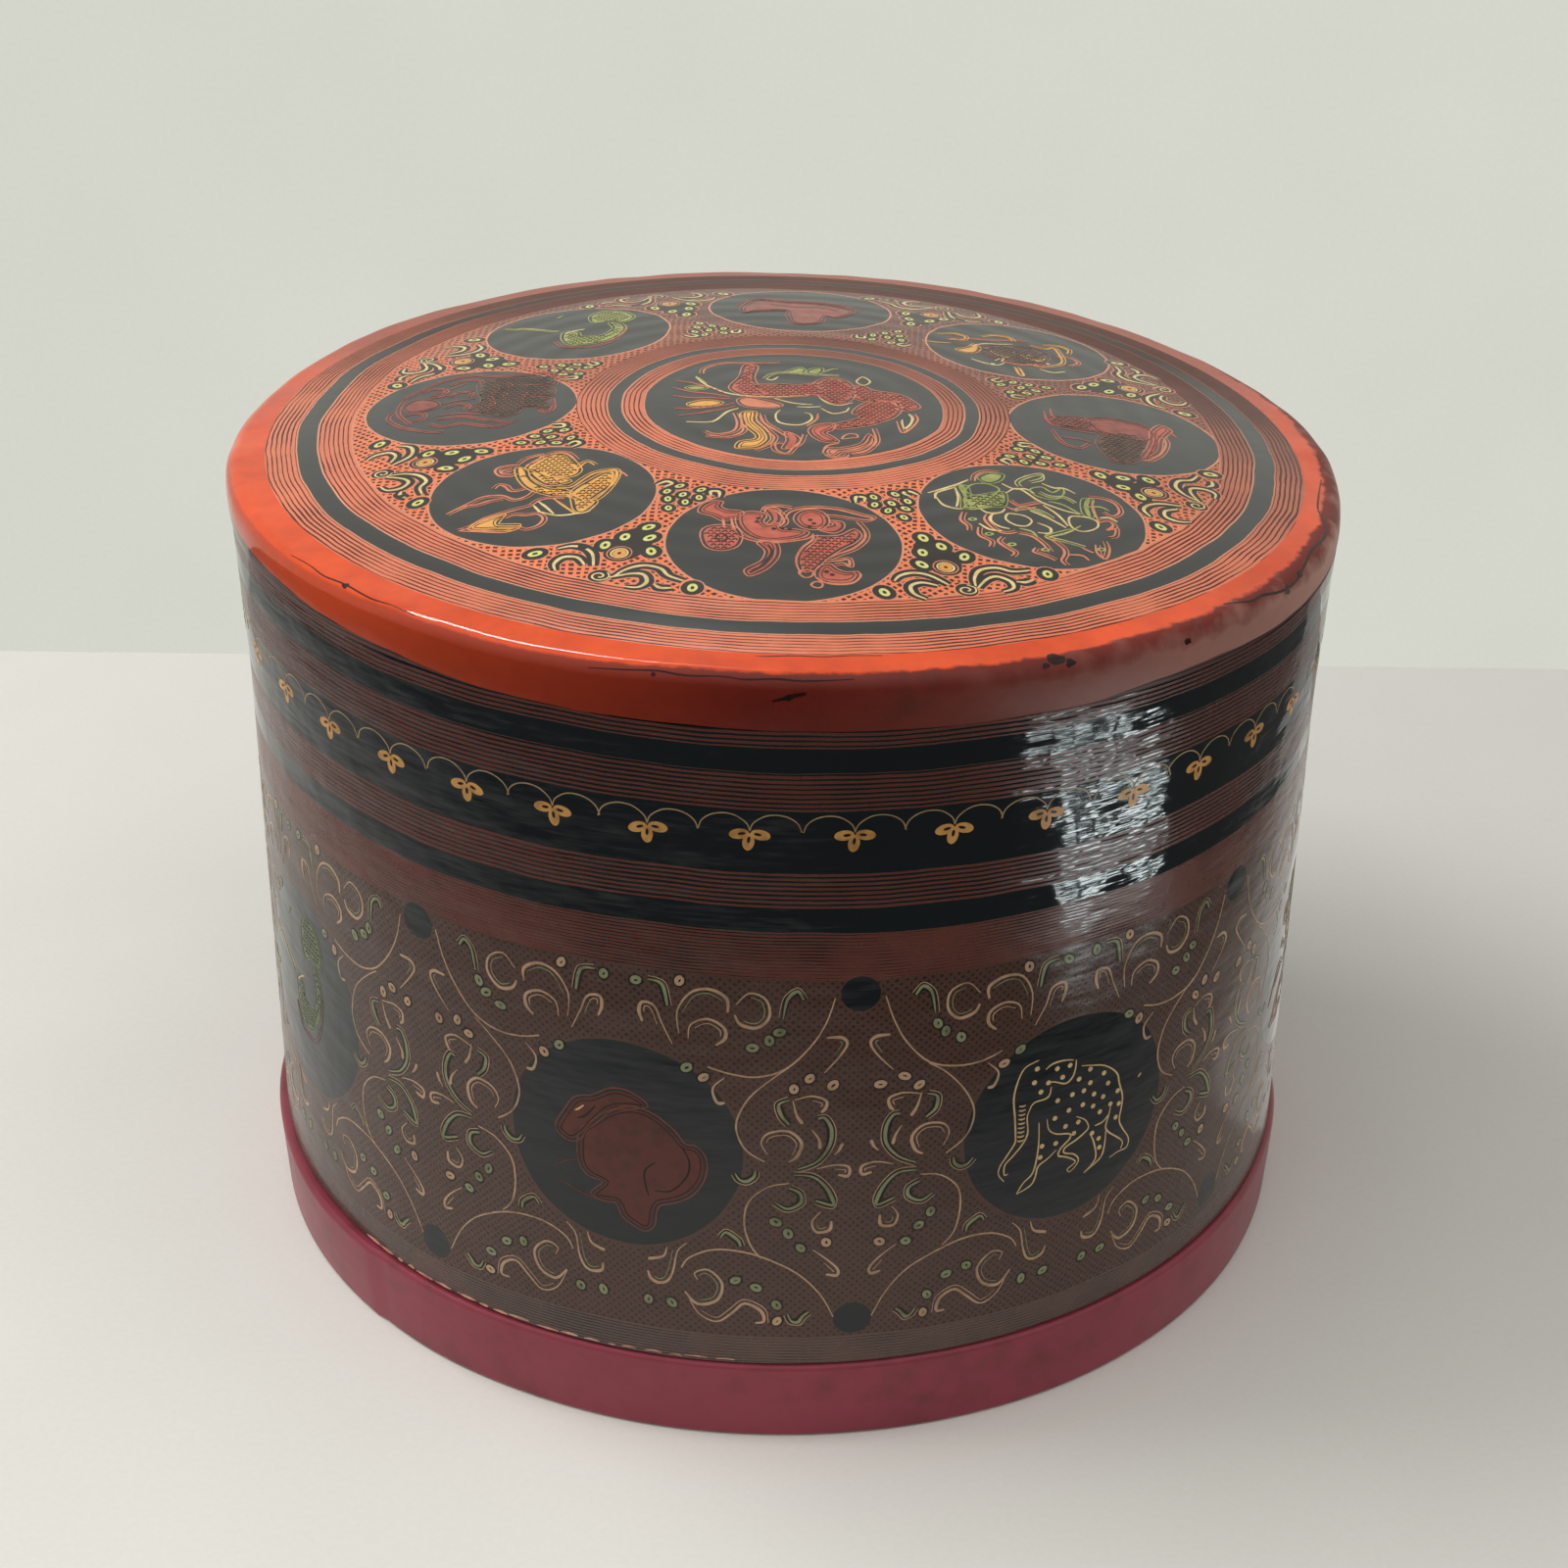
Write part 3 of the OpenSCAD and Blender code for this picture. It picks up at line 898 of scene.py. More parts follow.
LEAVES = [
    [(-10, 58), (-6.7, 59.6), (-4.7, 62.7), (-4.6, 66), (-5.6, 68.3), (-6.8, 68.3)],
    [(-11.5, 71.4), (-13.3, 70.6), (-13, 68.3), (-11.5, 66.6)],
    [(-13.6, 51.2), (-11.5, 49.8), (-9.2, 51), (-9.3, 53), (-11.2, 54)],
    [(-10.3, 56.2), (-7, 56), (-4.7, 53.7), (-3.5, 51), (-3.6, 49.8), (-6.5, 51)],
    [(-11, 26.9), (-10.2, 25.5), (-9.2, 25.2), (-8.3, 26.3), (-7.4, 27.3)],
    [(-12.2, 87.4), (-11.6, 91.3), (-10, 92.7), (-9, 91.3)],
    [(-34.7, 93.6), (-32.2, 93), (-31.4, 89)],
    [(-20.4, 56.8), (-19.6, 55.6), (-18.4, 55.3), (-17.3, 56.2), (-17, 57.4)],
    [(-23, 43.3), (-22, 44.4), (-20, 43), (-19.6, 41.6)],
]
TAN_EYES = [
    (-8, 75.8), (-10.5, 73.8), (-4, 74.5), (-4.6, 42.2), (-12.8, 25.5), (-29.2, 93.5), (-25.5, 75.2),
]
GREEN_EYES = [
    (-13.2, 47.2), (-11, 44.7), (-8.9, 41.6), (-20, 34.3), (-16.5, 33), (-13, 29.4), (-17.3, 82),
    (-14.5, 83.6), (-13, 85.4), (-36.6, 93), (-28.2, 77.3), (-35.2, 28.5), (-31, 28.4),
]

tan_pen = Pen(on_wall)
green_pen = Pen(on_wall)
shade_pen = Pen(on_wall, INK_LIFT * 0.4)
hand = random.Random(7)


def by_hand(points, middle, side):
    """The points of a stroke set about a cell's middle, on this side of it, with a hand's small error."""
    slip_x = hand.uniform(-HAND_SLIP, HAND_SLIP)
    slip_z = hand.uniform(-HAND_SLIP, HAND_SLIP)
    placed = []
    for x, z in points:
        shake_x = hand.uniform(-HAND_SHAKE, HAND_SHAKE)
        shake_z = hand.uniform(-HAND_SHAKE, HAND_SHAKE)
        placed.append((middle - side * x + slip_x + shake_x, z + slip_z + shake_z))
    return placed


def beside(points, gap):
    """An open line moved to its left by a gap."""
    knots = [complex(*point) for point in points]
    moved = []
    for before, knot, after in zip(knots[:1] + knots, knots, knots[1:] + knots[-1:]):
        moved.append(knot + 1j * gap * (after - before) / abs(after - before))
    return [(knot.real, knot.imag) for knot in moved]


def bend(points):
    """1 for a line that bends to its left as it goes, -1 for one that bends to its right."""
    knots = [complex(*point) for point in points]
    steps = [after - before for before, after in zip(knots, knots[1:])]
    turning = sum((first.conjugate() * second).imag for first, second in zip(steps, steps[1:]))
    return math.copysign(1, turning)


for cell in range(ROUNDEL_COUNT):
    middle = DOT_TURN * LID_R + cell * ROUNDEL_SPAN
    for side in (-1, 1):
        for stem in STEMS:
            tan_pen.line(by_hand(stem, middle, side), STEM_WIDTHS)
        for number, curl in enumerate(CURLS):
            stroke = by_hand(curl, middle, side)
            tan_pen.line(stroke, CURL_WIDTHS)
            if len(stroke) > 4:
                echo = beside(stroke, CURL_ECHO_GAP * bend(stroke))
                (green_pen if number % 2 else tan_pen).line(echo[1:-1], CURL_ECHO_WIDTHS)
        for leaf in LEAVES:
            stroke = by_hand(leaf, middle, side)
            shade_pen.line(stroke, LEAF_SEAT_WIDTHS)
            green_pen.line(stroke, LEAF_WIDTHS)
            tan_pen.line(beside(stroke, -LEAF_VEIN_GAP * bend(stroke)), LEAF_VEIN_WIDTHS)
        for pen, eyes in ((tan_pen, TAN_EYES), (green_pen, GREEN_EYES)):
            for eye in by_hand(eyes, middle, side):
                lean = hand.uniform(0, math.pi)
                shade_pen.patch(eye, *EYE_SEAT, lean)
                pen.oval(eye, hand.uniform(*EYE_LONG), hand.uniform(*EYE_BROAD), lean, EYE_WIDTHS)

tan_pen.done("frieze_stems", ink_lacquer("tan_ink", STEM_TAN, STEM_WORN))
green_pen.done("frieze_leaves", ink_lacquer("green_ink", LEAF_GREEN, LEAF_WORN))
shade_ink = ink_lacquer("shade_ink", SHADE_DARK, SHADE_BROWN)
shade_pen.done("frieze_shades", shade_ink)


# Garland
# The gold garland in the upper black band: trefoils with open hearts, hung from a thin scalloped line.
GOLD = ink(214, 160, 92)
GOLD_WORN = ink(150, 104, 56)
THREAD_TAN = ink(176, 148, 112)
THREAD_WORN = ink(128, 104, 76)
TREFOILS = 39
TREFOIL_TURN = math.radians(-2.6)
TREFOIL_Z = 122.3
LEAF_LONG = 1.6
LEAF_WIDE = 0.95
LEAF_LEANS = (math.radians(-12), math.radians(192), math.radians(270))
HEART_LONG = 0.62
HEART_WIDE = 0.26
HEART_REACH = 0.75
SCALLOP_RISE = 3.2
SCALLOP_ANGLES = (0.05, 0.5, 1.1, 1.6, 2.1, 2.6, 3.1)
THREAD_WIDTHS = (0.2, 0.22)

gold_pen = Pen(on_wall)
thread_pen = Pen(on_wall)
heart_pen = Pen(on_wall, INK_LIFT * 1.8)
spacing = math.tau * LID_R / TREFOILS
for count in range(TREFOILS):
    x = TREFOIL_TURN * LID_R + count * spacing + hand.uniform(-0.5, 0.5)
    z = TREFOIL_Z + hand.uniform(-0.3, 0.3)
    for lean in LEAF_LEANS:
        lean += hand.uniform(-0.15, 0.15)
        reach = cmath.rect(LEAF_LONG + 0.1, lean)
        gold_pen.patch((x + reach.real, z + reach.imag), LEAF_LONG, LEAF_WIDE, lean)
        heart = (x + reach.real * HEART_REACH, z + reach.imag * HEART_REACH)
        heart_pen.patch(heart, HEART_LONG, HEART_WIDE, lean)
    for way in (-1, 1):
        scallop = []
        for angle in SCALLOP_ANGLES:
            across = x + way * spacing / 4 * (1 - math.cos(angle))
            scallop.append((across, z + 0.2 + SCALLOP_RISE * math.sin(angle)))
        thread_pen.line(scallop, THREAD_WIDTHS)
gold_pen.done("garland_leaves", ink_lacquer("gold_ink", GOLD, GOLD_WORN))
thread_pen.done("garland_thread", ink_lacquer("thread_ink", THREAD_TAN, THREAD_WORN))
heart_pen.done("garland_hearts", shade_ink)


# Spandrels of the top
# The eyed feathers and curls cut between the roundels of the panel, in cream, green and orange. Each lies
# on a dark seat with a pale rim.
CREAM = ink(240, 218, 156)
EYE_GREEN = ink(226, 224, 138)
EYE_ORANGE = ink(238, 158, 74)
SALMON = ink(226, 140, 106)


def on_panel(x, y, lift):
    """A place on the settled panel, by its distance right of and behind the middle of the decoration."""
    x += PANEL_SHIFT[0]
    y += PANEL_SHIFT[1]
    return settled(Vector((x, y, coiled_z(math.hypot(x, y)) + lift)))


# Places in a spandrel: distance aside from its middle line, and radius
OUTER_EYES = [(-1.9, 63.8), (2, 62.5), (0.2, 59), (-3.6, 67.6), (4.3, 66.7), (-13.1, 75.3), (15.7, 76.1)]
INNER_EYES = [(0, 51.5), (-1.6, 48.5), (1.6, 48.5), (0, 46), (-3, 46), (3, 46), (-2, 43), (2, 43)]
PLUMES = [
    [(-10.4, 72.2), (-8.7, 70.3), (-6.3, 69.9), (-4.1, 71.2), (-2.2, 74.4)],
    [(-7.1, 78.2), (-8.4, 76.5), (-8, 74), (-5.8, 73.1), (-3.6, 74.5)],
    [(2.2, 76), (3.1, 73.4), (5.1, 71.4), (8, 71.4), (10.2, 73.3), (13.1, 74.1)],
    [(5.7, 78.6), (7.8, 78.2), (8.3, 76.1), (6.8, 74.1), (4.7, 74.4), (2.2, 76.5)],
    [(9.6, 76.4), (11, 77.2), (12.6, 76.8)],
    [(-5.8, 44.6), (-4.9, 42.6), (-3.6, 42.9), (-4.2, 44.4)],
    [(5.8, 44.6), (4.9, 42.6), (3.6, 42.9), (4.2, 44.4)],
]
BIG_EYE = (0, 69)
SPIRAL = (0.2, 76.8)
SPIRAL_STEPS = 11
SPIRAL_START = 0.35
SPIRAL_GROWTH = 0.14
SPIRAL_TURN = 0.9
SPIRAL_WIDTHS = (0.3, 0.35, 0.25)
INNER_EYE_SIZE = 0.72
PLUME_RIM_WIDTHS = (1.8, 2.9, 2.9, 2.1)
PLUME_SEAT_WIDTHS = (1.4, 2.4, 2.4, 1.7)
PLUME_WIDTHS = (0.3, 0.7, 0.6, 0.35)
CORE_R = 65.5
CORE_SIZE = (6.2, 3.5)
RIM_LIFT = INK_LIFT * 0.6
SEAT_LIFT = INK_LIFT * 0.9
FIGURE_LIFT = INK_LIFT * 1.3
MARK_LIFT = INK_LIFT * 2.2

rim_pen = Pen(on_panel, RIM_LIFT)
seat_pen = Pen(on_panel, SEAT_LIFT)
salmon_pen, cream_pen, eye_pen, orange_pen = [Pen(on_panel, FIGURE_LIFT) for _ in range(4)]
pupil_pen = Pen(on_panel, MARK_LIFT)

# Ovals laid one on another, as their pen, length and breadth
eye_layers = ((rim_pen, 2.6, 2.15), (seat_pen, 2.35, 1.9), (eye_pen, 1.3, 0.85), (pupil_pen, 0.5, 0.3))
big_eye_layers = ((rim_pen, 3.1, 2.9), (seat_pen, 2.85, 2.65), (orange_pen, 1.25, 1.1), (pupil_pen, 0.4, 0.3))
spiral_layers = ((rim_pen, 2.3, 2.1), (seat_pen, 2.05, 1.85))


def layered(layers, centre, lean, size=1):
    """Draw ovals of several inks on one centre."""
    for pen, length, breadth in layers:
        pen.patch(centre, length * size, breadth * size, lean)


def in_spandrel(points, turn):
    """Points of a spandrel set on the panel, with a hand's small error."""
    slip = hand.uniform(-0.25, 0.25)
    placed = []
    for aside, radius in points:
        point = polar(radius + hand.uniform(-HAND_SHAKE, HAND_SHAKE), turn + (aside + slip) / radius, 0)
        placed.append((point.x, point.y))
    return placed


for sector in range(SECTORS):
    turn = MEDAL_TURN + SECTOR * (sector + 0.5)
    outward = turn - math.pi / 2
    for plume in PLUMES:
        stroke = in_spandrel(plume, turn)
        rim_pen.line(stroke, PLUME_RIM_WIDTHS)
        seat_pen.line(stroke, PLUME_SEAT_WIDTHS)
        cream_pen.line(stroke, PLUME_WIDTHS)
    core = polar(CORE_R, turn, 0)
    seat_pen.patch((core.x, core.y), *CORE_SIZE, outward)
    for eyes, size in ((OUTER_EYES, 1), (INNER_EYES, INNER_EYE_SIZE)):
        for eye in in_spandrel(eyes, turn):
            layered(eye_layers, eye, outward + hand.uniform(-0.7, 0.7), size)
    for eye in in_spandrel([BIG_EYE], turn):
        layered(big_eye_layers, eye, outward)
        salmon_pen.oval(eye, 2.2, 2, outward, (0.22, 0.22))
        cream_pen.oval(eye, 1.5, 1.35, outward, (0.35, 0.25))
    for middle in in_spandrel([SPIRAL], turn):
        layered(spiral_layers, middle, outward)
        curl = []
        for i in range(SPIRAL_STEPS):
            reach = cmath.rect(SPIRAL_START + SPIRAL_GROWTH * i, outward + SPIRAL_TURN * i)
            curl.append((middle[0] + reach.real, middle[1] + reach.imag))
        cream_pen.line(curl, SPIRAL_WIDTHS)


# Animals of the top
# The beasts cut into the panel's eight roundels, and a five-part beast in the middle. They have flat fills
# of gold, red and green, pale outlines, and dark scales and spots.
RED = ink(204, 104, 84)
DULL_RED = ink(158, 82, 72)
BEAST_GOLD = ink(242, 180, 90)
BEAST_GREEN = ink(172, 178, 102)

# Strokes of each animal, by ink and kind: places right of and behind the middle of its roundel
BIRD = {
    ("gold", "scales"): [
        [(-5, 10.6), (-4.3, 6.4), (-2.5, 2.6), (-0.3, 0.6), (2.5, -0.9), (5.3, -0.8), (3.7, 0.8),
         (1.1, 1.4), (-1.2, 3.2), (-3, 6), (-4.1, 9.9)],
        [(-3.3, 10.4), (-1.9, 13.3), (0, 15.3), (2, 15.7), (3.4, 14.1), (5.6, 9.1), (4.5, 6.8), (2.2, 6.5),
         (0.4, 6.8), (-2.1, 9.7)],
        [(-2.4, 8.2), (-0.6, 5), (1.4, 3.4), (4.2, 4.6), (2.6, 5.7), (0.4, 6), (-1.2, 7.6)],
        [(5.2, -0.4), (7.5, 3.7), (10.3, 7), (11.7, 7.8), (11.6, 3.8), (9.2, -0.9), (7.7, -3), (6.4, -2.4)],
        [(4.2, -1.4), (5.5, -2.1), (6.4, -6.7), (7.5, -7.4), (8.8, -5.2), (9.2, -3.6), (7.7, -3.3)],
    ],
    ("gold", "line"): [
        [(-0.8, 8.1), (0.7, 6.5), (3.2, 6.5), (4.7, 7.6), (5.7, 10.2), (6.9, 12.3), (8.2, 10.8)],
        [(2.3, 2.2), (4.8, 2), (6.6, 4.9), (8.2, 7.1), (10.7, 8.5), (12.1, 8.4), (12.1, 5.2), (11.1, 1.2),
         (9.6, -2.3), (8, -3.8)],
        [(2.1, -2.2), (4.1, -5.2), (6.1, -8)],
    ],
    ("salmon", "line"): [
        [(-4.8, 12.1), (-6.9, 12.1), (-8.6, 11.3), (-9, 9.6), (-8, 7.7), (-6.2, 7.3), (-4.9, 8.5)],
        [(-6.1, 10.7), (-7.7, 10), (-7.7, 9), (-6.3, 8.5)],
        [(-4.9, 12.4), (-3.5, 14.7), (-1.6, 15.8), (-1.9, 13.9), (-3.8, 11.7)],
        [(-1, 15.4), (1.2, 16.5), (3.1, 16.1), (4.8, 13)],
        [(12.1, 8.4), (13.3, 7.5), (14.2, 5.9)],
        [(-1.4, -4.6), (-0.1, -2.7), (1.9, -2.1), (3.9, -2.3)],
        [(-12.9, -12.6), (-8.7, -13.5), (-5, -14.1), (-2.9, -12.8)],
        [(-12.9, -12.6), (-10.6, -11.3), (-8.4, -8.6), (-5.6, -7), (-3.3, -5.7), (-1.1, -4.5)],
        [(-5.4, -8.9), (-4, -8), (-2.1, -8.3), (-0.1, -7.9), (0.9, -9.7), (0.2, -12), (-1.7, -12.9),
         (-2.9, -11.7)],
        [(-8.3, 2.7), (-7.7, 3.9), (-6.7, 3.3), (-5.6, 1.4), (-3.9, 1.3), (-2.6, 2.2)],
        [(-1.6, 1.3), (-2.7, -0.9), (-4.6, -1.8), (-6.8, -0.1), (-9.7, -0.2), (-12, -2), (-15.7, -6.2)],
        [(-6.6, -1.3), (-8.6, -1.9), (-10.9, -3.1), (-12.9, -3.5), (-15.7, -6.2)],
    ],
    ("cream", "line"): [
        [(-1.1, -4.5), (-0.5, -5.7), (0.2, -7)],
        [(-0.3, -3.3), (1.2, -5.5), (2.6, -8)],
        [(-0.2, -6.7), (2.4, -8.3), (4.3, -8.6), (6.3, -8.2), (8.2, -7.6), (9.3, -5.2)],
    ],
    ("gold", "shape"): [
        [(-10.8, -12), (-8.6, -9.2), (-5.8, -7.6), (-6.8, -9.8), (-6.4, -11.4), (-3, -11.8), (-3.6, -12.8),
         (-7, -12.6)],
    ],
}
BEAST = {
    ("red", "shape"): [
        [(-13.8, 10.4), (-13.5, 12.4), (-12.2, 13.8), (-10.8, 13.8), (-11.1, 12.2), (-9.8, 10.8),
         (-7.4, 10.3), (-7.5, 8.7), (-8.7, 8.1), (-10.2, 7.6), (-11.6, 9.1)],
        [(-7.2, 9.5), (-5.1, 10.2), (-3.5, 9.4), (-4, 7.2), (-3, 5.6), (-1.3, 6.2), (-0.5, 4.4), (2, 4.1),
         (3.6, 3.7), (2, 1.9), (-0.9, 0.8), (-3.4, 0.8), (-5.5, 2.3), (-7, 4.9), (-7.5, 7.3)],
        [(-3, 11.9), (-1.7, 11.7), (-1.1, 9.3), (-1.4, 6.8), (-2.4, 6.2), (-1.7, 8.1), (-2.2, 10.3)],
        [(2.1, 8.4), (2.8, 10.6), (4.6, 11.6), (6.4, 10.4), (6.9, 7.6), (6.1, 5.7), (4.5, 5.3), (3, 6.1)],
        [(6.1, 4.9), (7.9, 4.4), (9.3, 5.8), (9.2, 7.6), (7.9, 8), (8.6, 6.4)],
        [(5.6, -10.4), (6.1, -8.1), (7.3, -7.4), (8.3, -8.8), (10, -9.7), (11.6, -9.3), (11.3, -11.4),
         (9.5, -12.5), (7.5, -12.4), (6.2, -12.1)],
        [(-3.9, -0.4), (-2.7, -2.5), (-2.6, -4.5), (-3.4, -7.1), (-5.8, -9.7), (-5.4, -11.1), (-4.5, -10.3),
         (-2.8, -8.4), (-1.5, -5.5), (-1.2, -2.4), (-1.9, -0.2)],
    ],
    ("salmon", "line"): [
        [(-10.2, 7.8), (-10, 6), (-9.9, 4.8)],
        [(-8.8, 8.1), (-8.5, 5.4), (-8.1, 4)],
        [(-3.3, 10.5), (-2.8, 12.2), (-0.9, 12.7), (1.2, 12.2)],
        [(-1.5, 11.5), (-0.3, 9), (-0.1, 6.8), (-1.4, 5.1)],
        [(-7.3, 1.7), (-5.5, 0.3), (-2.9, -0.3), (0.2, 0), (3.8, 1.5), (4.8, 3.3)],
        [(0.3, 8.2), (0.4, 9.6), (1.2, 11.1), (3.3, 12.3), (6.4, 12.7), (9.5, 12.2), (12.9, 10.7),
         (14.7, 10), (13.7, 9.1), (11.3, 9.6), (9, 10.3), (6.6, 10.5)],
        [(12, 8.1), (13.3, 4.9), (13.1, 1.9), (11.4, -1.1), (8.8, -3.3), (7.2, -5)],
        [(4.8, 3.2), (4.5, 0.9), (3, -1.7), (2.1, -4.8), (2.1, -7.7), (2.8, -10.2)],
        [(6.7, -6.2), (8.8, -5.7), (10.4, -5.1), (10.6, -7.1), (9.6, -6.3), (8.2, -6.8)],
        [(5.4, -11.4), (6.7, -13), (9, -13.4), (11.2, -12.6), (12.4, -10.1), (11.8, -8.7)],
    ],
    ("red", "scales"): [
        [(-13.2, 1.8), (-12.7, 4.3), (-10.7, 5.1), (-8.4, 4.6), (-7.4, 1.7), (-8, -1.5), (-10.2, -2.8),
         (-12.3, -1.8)],
        [(5.3, 2.1), (7.4, 2.2), (9.7, 3), (11.7, 5.1), (12.2, 3.6), (11.2, 1), (8.9, -1.5), (6.5, -5),
         (4.5, -8.7), (3.2, -9.1), (2.6, -6.7), (3, -3.2), (4.5, -0.6), (5.6, 1)],
    ],
    ("dark", "ring"): [
        [(-11.2, 1.2), (-10.5, 2.5), (-9.5, 1.8), (-9.4, 0.4), (-10.3, -0.1)],
    ],
    ("salmon", "ring"): [
        [(2.7, -10.7), (2.5, -9.7), (3.5, -8.9), (4.7, -9.5), (4.5, -11), (3.5, -11.6)],
        [(4.4, -13.8), (5.1, -12.8), (6.2, -13.2), (6, -14.5), (5, -14.6)],
    ],
    ("dark", "line"): [
        [(-2.6, -1), (-2, -3), (-2.3, -5), (-3.6, -8.1), (-5.2, -10.3)],
    ],
    ("dark", "dots"): [
        [(-4.3, 8.3), (-4.5, 6.9), (-0.4, 4.9), (0.9, 4.5), (-1.7, 4.6), (4.3, 8.2), (4.9, 6.9), (4.2, 5.8),
         (6.9, -9.4), (7.8, -10.3)],
    ],
}
FIVE_PART_BEAST = {
    ("red", "scales"): [
        [(-8.8, 19.5), (-7.2, 19.1), (-7.7, 12.8), (-6.9, 8.2), (-5.2, 3.9), (-8.3, 2.7), (-11.3, 6.6),
         (-9.6, 12.7)],
        [(-6.9, 7.8), (-2.4, 8.7), (1.3, 8.5), (4.3, 10.2), (5.4, 3.9), (3, 4.1), (-0.5, 2.7), (-4.7, 2.4)],
        [(4.3, 10), (6.7, 13.3), (9.7, 12), (10.9, 7.4), (10.2, 2.1), (7.8, 0.4), (5.4, 3.2)],
        [(11.1, 9.2), (13, 9.6), (14.5, 7.8), (17.5, 6.8), (20.4, 5.4), (22.8, 1), (21.1, -0.8),
         (19.7, -1.6), (19.1, 2.7), (16.7, 3.1), (13, 2.2), (11.1, 4.8)],
        [(11.2, -4.4), (12.8, -0.3), (15.8, 2.8), (18.5, 2.4), (19.4, -0.8), (18, -5.2), (15.6, -7.8),
         (13.5, -9.7), (8.2, -12.1), (7.1, -11.3), (10.6, -8.5), (12.7, -6.3)],
    ],
    ("salmon", "line"): [
        [(-16.7, 14.3), (-16.4, 17.3), (-13.5, 20.3), (-8.6, 20.7), (-2.4, 21.4)],
        [(14.2, -11.5), (14.7, -17.1), (12.8, -22), (10.3, -23.7)],
        [(5.2, -23.4), (6, -20.5), (8.1, -19.2)],
        [(5.6, -24.6), (6.9, -25.6), (9.2, -25.2), (9.8, -24)],
        [(18.7, -7.3), (19.5, -12.6), (21.3, -9.9), (22.6, -5.8), (22.2, -3)],
        [(-6.6, -6.2), (-6.4, -9.8), (-4.2, -15.2), (-3.3, -17.5), (-4.2, -20.8), (-6.7, -23.4)],
        [(-5.8, -7), (-5.1, -10.9), (-2.8, -14.5), (-0.8, -17.3)],
        [(1.8, -15.6), (1.2, -19.3), (0.1, -21.6), (-1, -24.3), (-2.7, -23.2), (-3, -20.5), (-1.6, -20.3)],
        [(4.5, -5.5), (4.2, -8.5), (2.4, -11.8)],
        [(-10.8, -6.4), (-10, -11.1), (-10.6, -14.9), (-13.4, -16.5), (-15.5, -15.1)],
        [(-9.4, -6.5), (-9.1, -11.8), (-9, -15), (-11.4, -17.6), (-15.4, -17)],
    ],
    ("cream", "line"): [
        [(-18.1, 12.4), (-15.9, 7.9), (-12.8, 4.4), (-9.5, 2.6), (-4.7, 2.2), (-0.5, 2.7), (3, 4.1)],
        [(4.8, 2.7), (6.6, -0.3), (8.6, -0.8), (10.9, 0.9)],
        [(-5, 12), (-3.9, 11.4), (-2.8, 13.3)],
        [(19.7, -6.3), (19.9, -10.4), (21.1, -8.4), (21.6, -5.2), (21, -3.2)],
        [(2.1, -5.4), (3.2, -6.2), (3.3, -8.6), (1.5, -11.1), (-0.8, -11.3), (-2.7, -9.9), (-3.1, -6.8),
         (-2.3, -4.3)],
        [(-3.4, 1.4), (0.1, -0.8), (3.6, -1)],
        [(0.7, -2.4), (2.9, -2.4), (5.1, -2)],
        [(5.1, -2.9), (7.1, -5.1), (9.5, -3.9), (10.2, -1.7)],
        [(-9.9, -4), (-11.9, -5.8), (-14.4, -10.6), (-19.1, -10.9)],
    ],
    ("green", "line"): [
        [(-18.1, 12.9), (-17, 10.8), (-16, 8.8)],
        [(-5, 12), (-3.6, 14.5), (-0.6, 15.5), (4, 14.8), (8.7, 14.9)],
        [(5.5, 16.9), (7, 18.6), (8.6, 19.4)],
    ],
    ("green", "shape"): [
        [(-1.2, 16), (0, 17.4), (1.3, 18.9), (2, 17.2), (0.8, 16)],
        [(2.9, 16.4), (3.8, 18.4), (5.2, 19), (5, 17.2), (4.4, 16)],
        [(-19.4, 6.5), (-17.8, 7.3), (-16.2, 6.4), (-17.8, 5.7)],
    ],
    ("cream", "ring"): [
        [(11.9, 13.1), (13.1, 15.2), (14.4, 12.8), (13.3, 10.7), (12.1, 11.5)],
    ],
    ("red", "shape"): [
        [(3.3, -14.4), (4.3, -11.6), (7.1, -10.5), (6.6, -12.9), (5.4, -14.5), (6.7, -16.6), (7.7, -18.3),
         (5.3, -18.2)],
        [(-0.9, -15.1), (0.6, -17.2), (0.2, -20.9), (-1.4, -22.3), (-0.6, -18.8)],
    ],
    ("salmon", "shape"): [
        [(13.7, -14.6), (14.2, -17.5), (12.7, -20.9), (10.6, -22.5), (8.4, -22.8), (7.3, -24.5),
         (5.9, -23.5), (6.4, -21.7), (8.4, -21.5), (11, -20.1), (12.7, -18.1)],
        [(-9.7, 0.2), (-7.4, 1.2), (-2.3, -2), (-4.6, -3.3), (-8.5, -2.8)],
    ],
    ("salmon", "ring"): [
        [(8.7, -17.1), (9.6, -14.8), (11.2, -14.6), (11.5, -16), (10.4, -16.5)],
    ],
    ("gold", "shape"): [
        [(-8.9, -6.3), (-8.3, -11.8), (-6.2, -16.1), (-6.4, -18.8), (-9, -20), (-9.6, -22.2), (-8.7, -22.3),
         (-6.2, -21.7), (-4.5, -18.5), (-5.1, -14.7), (-7.1, -10.2), (-7.1, -5.9)],
        [(-18.9, -2.1), (-16.2, -0.5), (-13.2, -1.2), (-15.2, -3), (-17.9, -3)],
    ],
    ("red", "line"): [
        [(-21.8, 10.4), (-18.6, 9.2), (-15, 6.4), (-12, 3.4)],
        [(-22.2, 6.6), (-18.6, 4.4), (-14.6, 3.2), (-11.4, 1.8)],
        [(-22, 2.4), (-18.4, 1.2), (-14.6, 1.2), (-11, 0.6)],
        [(-21.6, -4.4), (-17.6, -4.2), (-13.6, -3), (-10.6, -1.4)],
        [(-20.8, -8), (-17.2, -6.6), (-13.4, -5), (-10.4, -2.8)],
    ],
}
